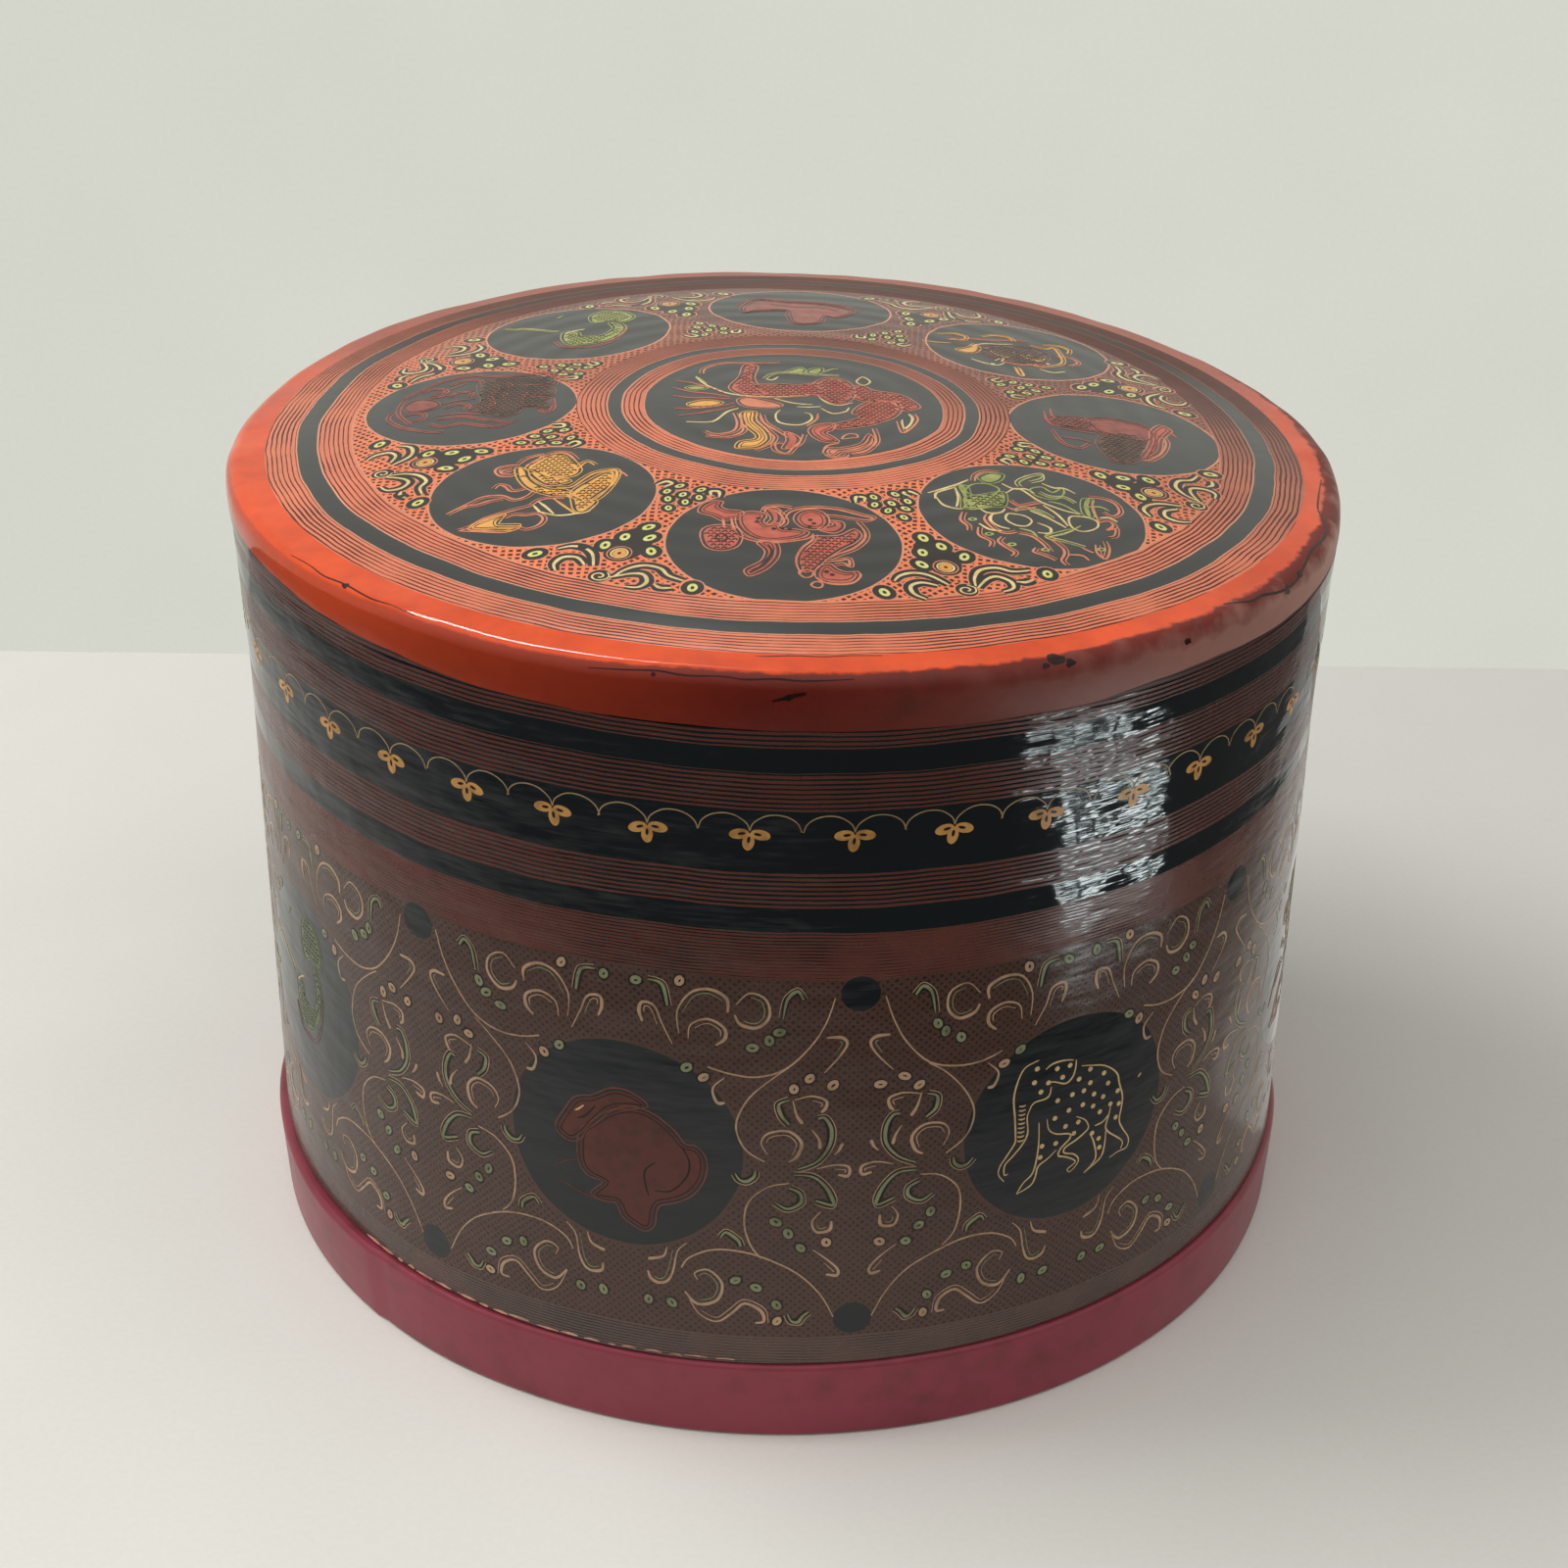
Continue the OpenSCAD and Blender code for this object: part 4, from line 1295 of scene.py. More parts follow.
FISH = {
    ("cream", "line"): [
        [(-17.6, 4.6), (-12.9, 8.5), (-10.3, 11.3)],
        [(-16.4, 2.6), (-16, 5), (-13, 7.5)],
        [(-16.2, 3.2), (-15.2, 0.6), (-13.4, -0.6), (-11.9, -0.7)],
        [(-12.8, 7.7), (-12.4, 3.9), (-12.9, 0)],
        [(-4, 7.2), (-1.7, 9.5), (1.9, 4.9), (5.7, 2.6), (8.4, 1.8)],
        [(2.1, 3.7), (4.4, 0.6), (5.8, -3.4)],
        [(-0.3, 1), (2.6, -1), (5.4, -4.1)],
        [(-5.7, -1), (-7, -1.8), (-7.3, -4.2), (-6, -6), (-4.3, -6.5)],
        [(-4.5, 11), (-2.5, 9.2), (-0.5, 9.6), (1, 8.2)],
        [(2.6, 12.6), (4.6, 11.4), (6.4, 11.6), (8.2, 9.8)],
        [(-9, 0.2), (-7.6, -1.2), (-5.4, -0.6), (-4.6, 1)],
        [(0.6, -3.2), (2.6, -4.8), (2.4, -6.8), (0.4, -7)],
        [(-9.4, -5.6), (-7.8, -7.4), (-5.8, -7.6)],
        [(11.6, 1.2), (13.2, 1.8), (14.6, 0.6)],
    ],
    ("green", "shape"): [
        [(-12.2, 8), (-11.1, 8.4), (-10.9, 3.5), (-11.7, -0.3), (-11.4, 4.1)],
        [(-8.1, 12.4), (-6.4, 14.4), (-4.4, 14.5), (-5.1, 12.3), (-6.9, 10.9)],
        [(9.8, 8), (10.6, 8.3), (10, 5), (10.1, 1.4), (9.5, 1.5), (9.2, 4.8)],
    ],
    ("green", "line"): [
        [(-11.7, -0.4), (-10, -0.4), (-6.6, 1.6), (-4.8, 2.5)],
        [(-1, 10.5), (-1.4, 12.1), (0.4, 14.6), (2.8, 16.2), (2.4, 14.6), (0.3, 12.9)],
        [(3.1, 5.5), (5.8, 4.6), (8.2, 2)],
        [(6.2, -4.3), (3.9, -6), (1.8, -7.7), (2, -8.8), (4.7, -9.5), (7.9, -10.9)],
        [(8, -2.7), (4.9, -6.4), (2.1, -8.1)],
        [(1.6, 8.6), (3.6, 7.2), (6, 7.4), (7.6, 5.8)],
        [(-3, 0.2), (-1, 1.6), (1.4, 0.8), (3.2, -1.2)],
        [(-2.6, -6), (-0.6, -6.8), (0.2, -8.8)],
        [(9, 4.6), (12, 5.6), (13.6, 4.4)],
    ],
    ("green", "scales"): [
        [(-10.9, 3.5), (-8.1, 5.3), (-4.6, 7.1), (-4.8, 2.5), (-7.2, 1.4), (-10.3, 0.3)],
    ],
    ("green", "ring"): [
        [(-11, 6.5), (-9.8, 9.3), (-7.2, 10.2), (-5.1, 8.7), (-6.3, 6.3), (-9.2, 5.3)],
        [(0.3, 9.6), (2.4, 11.1), (4.2, 9.4), (6, 11.6), (6.2, 9.6), (4.9, 6.9), (3.2, 6.4), (1, 7.5)],
    ],
    ("salmon", "line"): [
        [(-9.2, 10.8), (-8.7, 13.6), (-6.9, 15.4), (-4.7, 15.2)],
        [(-3.7, 4.3), (-2.1, 2.5), (0.8, 4), (1.9, 4.3)],
        [(-4.4, 1.7), (-2.2, 0.9), (0.9, 2.8)],
        [(10.4, 8.9), (12.7, 9), (14.8, 7.6), (15.3, 4.6), (14, 2.7), (12.7, 3.9)],
        [(10.9, 7.8), (10.8, 3.8), (11.3, -0.3)],
        [(11, -0.8), (13, 0.4), (13.7, -1.2), (12.4, -3.3), (13.9, -2.3), (13.5, -4.9), (12.4, -5.7)],
        [(2, -8.4), (4.1, -11.6), (4.3, -13.8), (3.6, -16.1), (4.3, -17.6)],
        [(4.9, -13.9), (7.3, -13.6), (8.3, -15.1)],
        [(7.5, -10.8), (8.4, -11.6), (9.3, -12.1)],
        [(-7.9, -1.7), (-8.4, -3.9), (-7.1, -7.1), (-5, -8.4), (-3.1, -7.5)],
        [(-3, -8), (-0.7, -8.7), (1, -11.1), (1.8, -13.7)],
        [(-12, -1.8), (-12.5, -4.6), (-11.5, -6.7), (-11.5, -8.4)],
        [(-9.6, -7), (-9.7, -9.8), (-7.9, -11.7), (-8.2, -13.7)],
        [(-5.9, -9.7), (-6.6, -11.5), (-5.4, -13.5), (-4.1, -14.9), (-4.7, -16.2)],
        [(-0.4, -12.5), (-0.9, -14), (0.7, -15), (2.6, -16.4)],
        [(9.9, -9.2), (9.9, -12), (11.2, -13.9), (12.2, -10.3), (12, -7.5)],
    ],
    ("cream", "ring"): [
        [(6.6, 0.5), (6.1, -2), (6.8, -4.2), (8.6, -4.6), (10.8, -2.6), (11, -0.2), (9.1, 0.8)],
        [(-4.3, -1), (-4.7, -3.2), (-3.2, -4.9), (-1.3, -4.8), (-0.3, -2.8), (-1.3, -1.3), (-3.2, -0.8)],
    ],
    ("green", "eyes"): [
        [(-10.4, -4.1), (-7.9, -9.1), (-4.3, -12.2), (1.2, -12.9), (10.8, -10.6)],
    ],
}
MANED_BEAST = {
    ("brown", "scales"): [
        [(0.7, 12.5), (4.6, 13.4), (13.3, 13.6), (13.6, 9.5), (8.6, 9.3), (13.8, 7.1), (14.2, 3.2),
         (9.2, 3.1), (14, 1), (14.4, -3.4), (9.9, -2.1), (8.4, -5.5), (5.5, -6.5), (2.7, -4.6),
         (-0.9, -1.8), (1.9, 1.4), (0.8, 6.9)],
    ],
    ("dull red", "line"): [
        [(-13, 6.1), (-9.6, 10.8), (-6.2, 14.8), (-2.1, 16.4), (4.5, 14.6), (8.4, 15.2), (13.2, 15.2),
         (14.6, 11.9), (14.2, 8.6)],
        [(14.3, 1), (14.8, -3.5), (14, -5.7), (12.9, -4.1)],
        [(-13.3, 6.2), (-14, 1.9), (-13.7, -1.9), (-12.3, -5.1), (-10.9, -7.6)],
        [(-14.7, -0.5), (-15.4, -3.6), (-13.9, -6.8), (-11.5, -9.5), (-6.8, -12.5), (-3.8, -12.7)],
        [(-7.9, 7.2), (-5.5, 9.4), (-2.2, 12.3)],
        [(-6.7, 1.6), (-3.7, 2.8), (0.3, 3.5)],
        [(-8, 5.2), (-5, 6.4), (-0.5, 8)],
        [(-6.5, -4.2), (-1.5, -3.9), (2.1, -5.2)],
        [(-7.3, -8.3), (-4.3, -10.4), (-0.8, -9.5), (3.4, -11.6), (6, -12.1), (9, -9.1)],
        [(-5.8, -6.5), (-1.2, -6), (2.8, -8.3), (6.8, -10.2)],
        [(2, 11.5), (3.5, 8), (2.6, 4), (3.5, 0), (2.4, -3)],
        [(5, 12), (6, 8.5), (5.2, 4.5), (6.2, 0.5), (5, -4)],
        [(8, 12.4), (9, 10.8), (8, 6.5), (9, 5), (8.2, 0.5), (9, -1)],
        [(-10, 8.4), (-8, 10.2), (-6, 9.2), (-6.6, 7), (-8.6, 6.6)],
        [(-12.6, -3.5), (-10.4, -2.4), (-8.6, -3.4), (-9, -5.4), (-11, -5.6)],
        [(-4.6, 5), (-3, 7.2), (-1, 6.4), (-1.4, 4.4)],
        [(-4.8, -0.8), (-2.8, 0.8), (-1, 0), (-1.6, -2)],
        [(-5, 11.6), (-3, 13.6), (0, 13.2), (0.4, 11)],
    ],
    ("dull red", "shape"): [
        [(-12.4, 1.5), (-10.7, 4.8), (-7.4, 3.3), (-6.6, 0.8), (-9, -0.8), (-11.1, -0.8)],
    ],
}
WORN_BEAST = {
    ("dull red", "shape"): [
        [(-4.6, 4.2), (-1, 6.2), (3.4, 6), (7.4, 3.4), (7.2, -1), (4.6, -3.6), (0.6, -2.6), (-3.2, -0.6)],
    ],
    ("red", "line"): [
        [(-12.5, 6.2), (-12.3, 1.7), (-11.4, -0.4), (-9.6, -0.5)],
        [(-11.2, 7.8), (-11.1, 4.3), (-10.1, 3.2)],
        [(10.5, 4.1), (11.2, 2.8), (11.7, 1.6)],
    ],
    ("dull red", "scales"): [
        [(-12.1, 1.8), (-10.3, 3.8), (-7.1, 4.3), (-4.1, 4.4), (-3.4, 1), (-4.1, -0.7), (-8.8, -0.3)],
    ],
    ("dull red", "line"): [
        [(-12.2, -2.6), (-11.2, -7.2), (-9.7, -10.1), (-7.1, -10.8), (-5, -8)],
        [(-10.2, -1.6), (-7.4, -2.2), (-3.7, -2.4)],
        [(-10.5, -6), (-7.7, -6.2), (-4.7, -6.9)],
    ],
    ("red", "shape"): [
        [(7.4, 2.6), (9.5, 6.6), (10.7, 4.9), (9.5, 2), (8.3, -1.4), (7.4, -6.4), (5.7, -9.8), (4.3, -10.9),
         (5.8, -6.3), (6.9, -1.7)],
    ],
    ("salmon", "line"): [
        [(8.8, 1.2), (9.3, -2.2), (7.8, -7.7), (5.2, -11.9), (3.9, -12.1)],
    ],
    ("brown", "scales"): [
        [(-2.2, -2.9), (0.7, -0.5), (4.4, -0.6), (5.7, -2.9), (4.2, -9), (2.4, -13.5), (-1.3, -14.8),
         (-2.8, -11.3), (-3.6, -6.9)],
    ],
}
SERPENT = {
    ("green", "scales"): [
        [(-3.9, 0.9), (-4, -3.8), (-2.4, -8.1), (0.3, -7.8), (3.6, -6.3), (6.1, -2.7), (7.2, 2.5),
         (6.1, 5.9), (4.5, 6.6), (5.6, 2.8), (4.1, -2), (1.6, -3.2), (-1.1, -2.4), (-1.8, 0.2)],
        [(0.3, 12.2), (2.6, 16.5), (6.7, 14.8), (8.5, 11.2), (7.1, 7.8), (4.4, 9.2), (1.4, 7.6)],
    ],
    ("green", "line"): [
        [(-16.8, 5.9), (-14.6, 4.8), (-12.8, 5.1), (-9, 3), (-5.5, 1.2)],
        [(-6.6, 12.5), (-6, 13.5), (-5.4, 14.3)],
    ],
    ("dull red", "line"): [
        [(-6, -5.4), (-4.1, -9.5), (-1.5, -10.3), (3, -10), (6.5, -5.2), (8.2, 2.1)],
    ],
    ("cream", "line"): [
        [(-4.1, 0.1), (-1.9, 1.8), (-0.4, 2.6)],
    ],
}
RED_MOLE = {
    ("dull red", "shape"): [
        [(-11.5, 3), (-8.5, 9.3), (-2.9, 8.1), (3.8, 7.4), (8.4, 5.4), (10.7, 1.8), (7.5, -3.4),
         (5.2, -2.7), (3.7, -8.3), (-0.8, -9.5), (-2.3, -4), (-2.8, 1), (-8.9, -0.3), (-11.1, -1.6)],
    ],
    ("dull red", "line"): [
        [(-12.4, 3.4), (-9, 10.4), (-2.9, 9.2), (4, 8.5), (9, 6.2), (11.8, 1.8)],
    ],
    ("dark", "line"): [
        [(-6, 6), (-1, 4), (4, 4.5), (7.5, 2)],
    ],
}
GOLD_LION = {
    ("gold", "line"): [
        [(-14, 7), (-11, 8.5), (-8.5, 7), (-9, 4.5), (-11.5, 4.5)],
        [(-5, 8), (-2.5, 10), (0.5, 9.5), (1, 7)],
        [(-4, -2), (-2.5, -4.5), (0, -4.8), (1, -3)],
        [(2, -2.5), (3.5, -5), (6, -5), (6.5, -2.5)],
        [(7, 6.5), (10, 7.5), (12, 5.5), (11.5, 2.5)],
        [(-17.3, 1.5), (-14.9, 1), (-11.6, 1.2)],
        [(0.1, -11.1), (0.7, -15.6), (1.6, -16), (1.2, -11.8)],
        [(4.3, 5), (7.5, 3.9), (9.1, 5.9), (9.9, 0.4), (10, -3.7), (8.6, -6.6), (5.4, -9.1), (4.2, -7.7)],
    ],
    ("salmon", "line"): [
        [(-12, 3), (-8, 5.5), (-4, 5.8), (0, 7.5), (4, 8)],
        [(-2, -8.5), (1, -9.5), (4, -8.5), (7, -8.5)],
        [(9, -1), (12, -0.5), (13, -3.5), (11, -6)],
    ],
    ("cream", "line"): [
        [(-7.5, 0.5), (-5, 3), (-2, 3.6), (1, 5)],
        [(5, -10.5), (7.5, -12), (10, -10.5)],
        [(-8.1, -8.6), (-5.9, -10.5), (-3.3, -11.2), (-1.6, -9.1)],
        [(-3.5, -8.2), (-1.6, -6), (-2.2, -8.5)],
    ],
    ("gold", "shape"): [
        [(-10.3, -3), (-7.9, -1), (-6.9, 1.5), (-6.3, -0.4), (-7.2, -3.6), (-9, -4.2)],
    ],
    ("brown", "scales"): [
        [(-6, -1), (-2, 2.6), (3.6, 3.4), (7, 0.4), (6.4, -5), (2, -8), (-3, -6.4)],
    ],
    ("cream", "dots"): [
        [(0.7, -1.5), (3.7, -2.3), (4.8, -5.1), (7, -6.5), (-4, -10.6), (-4.3, 0.3)],
    ],
}


def inside(point, outline):
    """Whether a point is inside a closed outline."""
    crossings = 0
    for (x0, y0), (x1, y1) in zip(outline, outline[1:] + outline[:1]):
        if (y0 > point[1]) != (y1 > point[1]):
            crossings += point[0] < x0 + (point[1] - y0) / (y1 - y0) * (x1 - x0)
    return crossings % 2 == 1


SCALE_STEP = 1.15
SCALE_ROW = 0.95
SCALE_STAGGER = 0.55
SCALE_WIDTHS = (0.24, 0.34, 0.24)


def scale_marks(pen, outline):
    """Short dark ticks in staggered rows over a filled shape."""
    xs = [point[0] for point in outline]
    ys = [point[1] for point in outline]
    row = 0
    y = min(ys) + 0.5
    while y < max(ys):
        x = min(xs) + SCALE_STAGGER * (row % 2)
        while x < max(xs):
            if inside((x - 0.25, y), outline) and inside((x + 0.25, y), outline):
                pen.line([(x - 0.45, y - 0.25), (x, y + 0.22), (x + 0.45, y - 0.2)], SCALE_WIDTHS)
            x += SCALE_STEP
        y += SCALE_ROW
        row += 1


def around(points, gap):
    """A closed outline moved outward by a gap."""
    knots = [complex(*point) for point in points]
    area = sum((first.conjugate() * second).imag for first, second in zip(knots, knots[1:] + knots[:1]))
    outward = -1j if area > 0 else 1j
    moved = []
    for before, knot, after in zip(knots[-1:] + knots, knots, knots[1:] + knots[:1]):
        heading = (after - before) / abs(after - before)
        moved.append(knot + outward * heading * gap)
    return [(knot.real, knot.imag) for knot in moved]


# The ink of the thin line round a fill, and of the one beside a stroke
EDGED = {"red": "salmon", "brown": "dull red"}
ECHOED = {"salmon": "salmon", "green": "cream", "gold": "gold", "dull red": "red"}
LINE_WIDTHS = (0.24, 0.5, 0.42, 0.22)
RING_WIDTHS = (0.4, 0.3)
ECHO_WIDTHS = (0.14, 0.22, 0.22, 0.14)
ECHO_GAP = 0.72
EDGE_WIDTHS = (0.26, 0.2)
EDGE_GAP = 0.6
INNER_EDGE_WIDTHS = (0.14, 0.2)
INNER_EDGE_GAP = 0.5
EYESPOT_SIZE = (0.85, 0.6)
PUPIL_SIZE = (0.34, 0.22)
SPOT_SIZE = 0.42
SPOT_LEAN = 0.4


def draw(animal, middle, inks, size=1, weight=1):
    """Draw an animal's strokes about the middle of its roundel. Its fills have thin lines round them, and
    its long strokes a thin line beside them."""
    strokes = [(*kind, places) for kind, group in animal.items() for places in group]
    for colour, what, places in strokes:
        pen = inks[colour]
        points = [(middle[0] + x, middle[1] + y) for x, y in places]
        if what == "line":
            pen.line(points, [width * weight for width in LINE_WIDTHS])
            if colour in ECHOED and len(points) > 3:
                inks[ECHOED[colour]].line(beside(points, ECHO_GAP), ECHO_WIDTHS)
        elif what == "ring":
            pen.line(points, [width * weight for width in RING_WIDTHS], closed=True)
        elif what == "dots":
            for point in points:
                pen.patch(point, SPOT_SIZE * size, SPOT_SIZE * size, SPOT_LEAN)
        elif what == "eyes":
            for point in points:
                pen.patch(point, *EYESPOT_SIZE, SPOT_LEAN)
                inks["dark"].patch(point, *PUPIL_SIZE, SPOT_LEAN)
        else:
            pen.shape(points)
            inks[EDGED.get(colour, colour)].line(around(points, EDGE_GAP), EDGE_WIDTHS, closed=True)
            if what == "scales":
                scale_marks(inks["dark"], points)
            elif len(points) > 7:
                inks["dark"].line(around(points, -INNER_EDGE_GAP), INNER_EDGE_WIDTHS, closed=True)


top_inks = {colour: Pen(on_panel, FIGURE_LIFT) for colour in ("gold", "red", "dull red", "green", "brown")}
top_inks |= {"cream": cream_pen, "salmon": salmon_pen, "dark": pupil_pen}
ANIMALS = [BEAST, FISH, WORN_BEAST, GOLD_LION, RED_MOLE, SERPENT, MANED_BEAST, BIRD]
for number, animal in enumerate(ANIMALS):
    draw(animal, polar(MEDAL_RING_R, MEDAL_TURN + SECTOR * number, 0), top_inks)
draw(FIVE_PART_BEAST, (0, 0), top_inks)

for pen, piece, ink_name, colour, worn in (
    (rim_pen, "top_seat_rims", "rim_ink", TOP_PALE, TOP_NET),
    (seat_pen, "top_dark_seats", "seat_ink", ink(44, 34, 30), TOP_BLACK),
    (salmon_pen, "top_salmon_lines", "salmon_ink", SALMON, ink(196, 104, 76)),
    (cream_pen, "top_cream_lines", "cream_ink", CREAM, ink(204, 164, 104)),
    (eye_pen, "top_green_eyes", "eye_green_ink", EYE_GREEN, ink(206, 206, 100)),
    (orange_pen, "top_orange_eyes", "orange_ink", EYE_ORANGE, ink(220, 170, 80)),
    (pupil_pen, "top_dark_marks", "mark_ink", ink(50, 30, 24), TOP_BLACK),
    (top_inks["gold"], "top_gold_animals", "beast_gold_ink", BEAST_GOLD, ink(220, 146, 74)),
    (top_inks["red"], "top_red_animals", "beast_red_ink", RED, ink(168, 78, 62)),
    (top_inks["dull red"], "top_dull_red_animals", "beast_dull_red_ink", DULL_RED, ink(112, 62, 54)),
    (top_inks["green"], "top_green_animals", "beast_green_ink", BEAST_GREEN, ink(120, 128, 66)),
    (top_inks["brown"], "top_brown_animals", "beast_brown_ink", ink(104, 76, 62), ink(70, 56, 48)),
):
    pen.done(piece, ink_lacquer(ink_name, colour, worn))


# Animals of the wall
# The beasts cut into the roundels of the frieze: an elephant in cream outline with a spotted body, a
# crouching beast in dull red, and others like those of the top.
ELEPHANT = {
    ("cream", "line"): [
        [(-7.3, 13.9), (-9.8, 13.1), (-11, 10.9), (-11.7, 7.4), (-11.3, 3.4), (-11, -0.1), (-11, -2.1),
         (-12.2, -4.1), (-13.6, -6.3), (-13.8, -8), (-12.7, -9.7)],
        [(-8.2, 4.8), (-8.9, 2.7), (-8.6, -0.5), (-9.4, -2.6), (-11.2, -4.7), (-12.7, -6.3), (-12.7, -8.3),
         (-12, -8.3)],
        [(-4.5, 7.7), (-4.7, 6.1), (-5.6, 5.5), (-7.5, 5.4), (-8.4, 4.6)],
        [(-5.8, 11.6), (-4.4, 12.4), (-2.1, 12.4), (-0.2, 11.9)],
        [(0.3, 11.8), (0.3, 10.2), (-0.2, 8.4), (-1.6, 7.5), (-3.8, 8.5), (-5.2, 8.8)],
        [(1.6, 10.1), (3.7, 9.5), (6.3, 8.6), (8.4, 7.1), (9.8, 5.4), (10.3, 3.5), (11.3, 0.5),
         (11.3, -1.8), (11, -4.6), (11.9, -6.7), (13.6, -9.5), (13.3, -11.4), (11.3, -11.5), (9.4, -12)],
        [(8.7, -0.8), (8.4, -2.7), (7.9, -4.8), (8.7, -6.3), (10.6, -8), (12.2, -9.7), (11.9, -11.1)],
        [(5.4, -3.7), (7.2, -3.5), (8.4, -2.4)],
        [(4.4, -5), (5.4, -7.1), (6.1, -10.9), (3.7, -13.1)],
        [(8, -5.4), (8, -8.1), (7.5, -10.8), (5.9, -12), (3.7, -13.1)],
        [(-4.9, 1.1), (-4.4, -1.2), (-2.8, -2.6), (0, -3.5), (0, -4.6), (-1.7, -6), (-2.1, -7.4),
         (-0.7, -8.1), (1, -9.2), (1.6, -10.1), (0, -11), (0.5, -11.8)],
        [(1.2, -0.3), (3.1, -1.6), (4, -3.4), (3.3, -4.3), (1.4, -5.3), (-0.7, -6.1), (-0.9, -7.2),
         (1.2, -8.2), (2.3, -9.7), (1.7, -11), (0.5, -11.8)],
        [(-6.5, 0.9), (-6.3, -3.2), (-6.5, -6.6), (-7.2, -9.6), (-8.9, -11.1), (-10.1, -13.1)],
        [(-2.6, -6), (-4.2, -7.3), (-6.1, -8.4), (-6.6, -10.6), (-7.5, -12.1), (-10.1, -13.1)],
        [(14.8, 2.9), (15.2, 3.3), (15.5, 3.5)],
    ],
    ("cream", "dots"): [
        [(-7.5, 12.2), (-3.5, 11.1), (-0.9, 11), (3.5, 8.8), (6.6, 6.9), (7.7, 4.4), (-2.3, 9), (1.2, 7.5),
         (3.7, 5.9), (-7.9, 9.5), (-5.1, 8.7), (2.4, 4.7), (4.7, 3.2), (6.8, 1.9), (-6.5, 7.2), (0, 4.7),
         (-3, 4.4), (2.4, 1.8), (4.7, 0.7), (8.6, -0.3), (10.1, 1.9), (10.6, -1), (-0.5, 1.6), (6.3, -1.1),
         (-3.3, 0.8), (10.1, -3.7), (1.7, -1.6), (-1, -1.6), (0.9, -3.7), (4.9, -5.1), (6.5, -6.8),
         (-2.8, -4.6), (-5.6, -4.3), (6.8, -8.8), (-5.8, -6.6)],
    ],
}
for rib in range(9):
    down = 0.9 * rib
    ELEPHANT["cream", "line"].append([(-10.6, 5.4 - down), (-9.9, 5.2 - down), (-9.3, 5.3 - down)])
CROUCHER = {
    ("red", "shape"): [
        [(-7.3, 0.1), (-5.1, 3), (-1.6, 6), (2.1, 7.3), (5.4, 6.4), (8.6, 3.8), (10.5, 1.3), (12.4, 1),
         (13.8, -1), (13.6, -4.7), (11.7, -8.1), (8.9, -10), (6.1, -11.1), (5.2, -13.1), (4.9, -15.6),
         (3.7, -16.8), (1.7, -15.9), (0.2, -14.7), (-1, -12.1), (-3.3, -12), (-5.4, -11.5), (-3.1, -8.5),
         (-6.1, -7.4), (-7.5, -4.9)],
        [(-11.5, 1.1), (-9.9, 4.3), (-8, 7.2), (-5.1, 8.2), (-1.7, 10.3), (1.4, 10.2), (4, 8.5), (1.4, 7.9),
         (-2, 6.9), (-5, 3.6), (-7.2, 0.6), (-9.1, -1), (-11, -0.3)],
    ],
    ("dark", "line"): [
        [(10.3, 1), (11.5, -1.9), (11, -5), (8.4, -8.2), (5.6, -8.6)],
        [(5.6, -2.8), (3.8, -4.9), (4, -8), (4.5, -9.8)],
        [(-8, 3.4), (-6.4, 4.4), (-4.8, 6.6)],
    ],
    ("red", "line"): [
        [(-12, -10.2), (-9.3, -11), (-6.6, -12.1), (-3.3, -12.6), (-0.5, -12)],
        [(-7.5, -4.9), (-9.8, -5.5), (-12, -7)],
    ],
    ("cream", "line"): [
        [(-8.4, 4.9), (-7.6, 5.5), (-6.8, 6.3)],
    ],
}

wall_pens = {colour: Pen(on_wall) for colour in ("cream", "red", "salmon", "gold", "green")}
wall_pens["dark"] = Pen(on_wall, INK_LIFT * 1.8)
wall_inks = {**wall_pens, "brown": wall_pens["red"], "dull red": wall_pens["red"]}
WALL_SPOTS = 1.15
WALL_WEIGHT = 0.68
WALL_ANIMALS = [CROUCHER, ELEPHANT, BIRD, MANED_BEAST, SERPENT, BEAST, FISH, SERPENT]
for number, animal in enumerate(WALL_ANIMALS):
    along = ROUNDEL_TURN * LID_R + ROUNDEL_SPAN * number
    draw(animal, (along, ROUNDEL_Z), wall_inks, size=WALL_SPOTS, weight=WALL_WEIGHT)

for pen_colour, piece, ink_name, colour, worn in (
    ("cream", "wall_cream_animals", "wall_cream_ink", ink(222, 190, 138), ink(182, 148, 104)),
    ("red", "wall_red_animals", "wall_red_ink", ink(100, 56, 50), ink(78, 52, 47)),
    ("salmon", "wall_rose_lines", "wall_rose_ink", ink(128, 72, 60), ink(96, 58, 50)),
    ("gold", "wall_gold_animals", "wall_gold_ink", ink(160, 118, 64), ink(118, 88, 54)),
    ("green", "wall_green_animals", "wall_green_ink", ink(96, 108, 62), ink(66, 72, 46)),
):
    wall_pens[pen_colour].done(piece, ink_lacquer(ink_name, colour, worn))
wall_pens["dark"].done("wall_dark_marks", shade_ink)


# Worn edge of the lid, with a painted highlight
# Where the lid has been taken off and set down, the lacquer of its lower edge is rubbed through to the
# pale cane, most at the front left. The same pale line is also a painted highlight along that edge.
WEAR_AND_HIGHLIGHT_START = -86
WEAR_AND_HIGHLIGHT_END = -8
WEAR_AND_HIGHLIGHT_PALE = ink(226, 172, 150)
WEAR_AND_HIGHLIGHT_RED = ink(136, 78, 68)

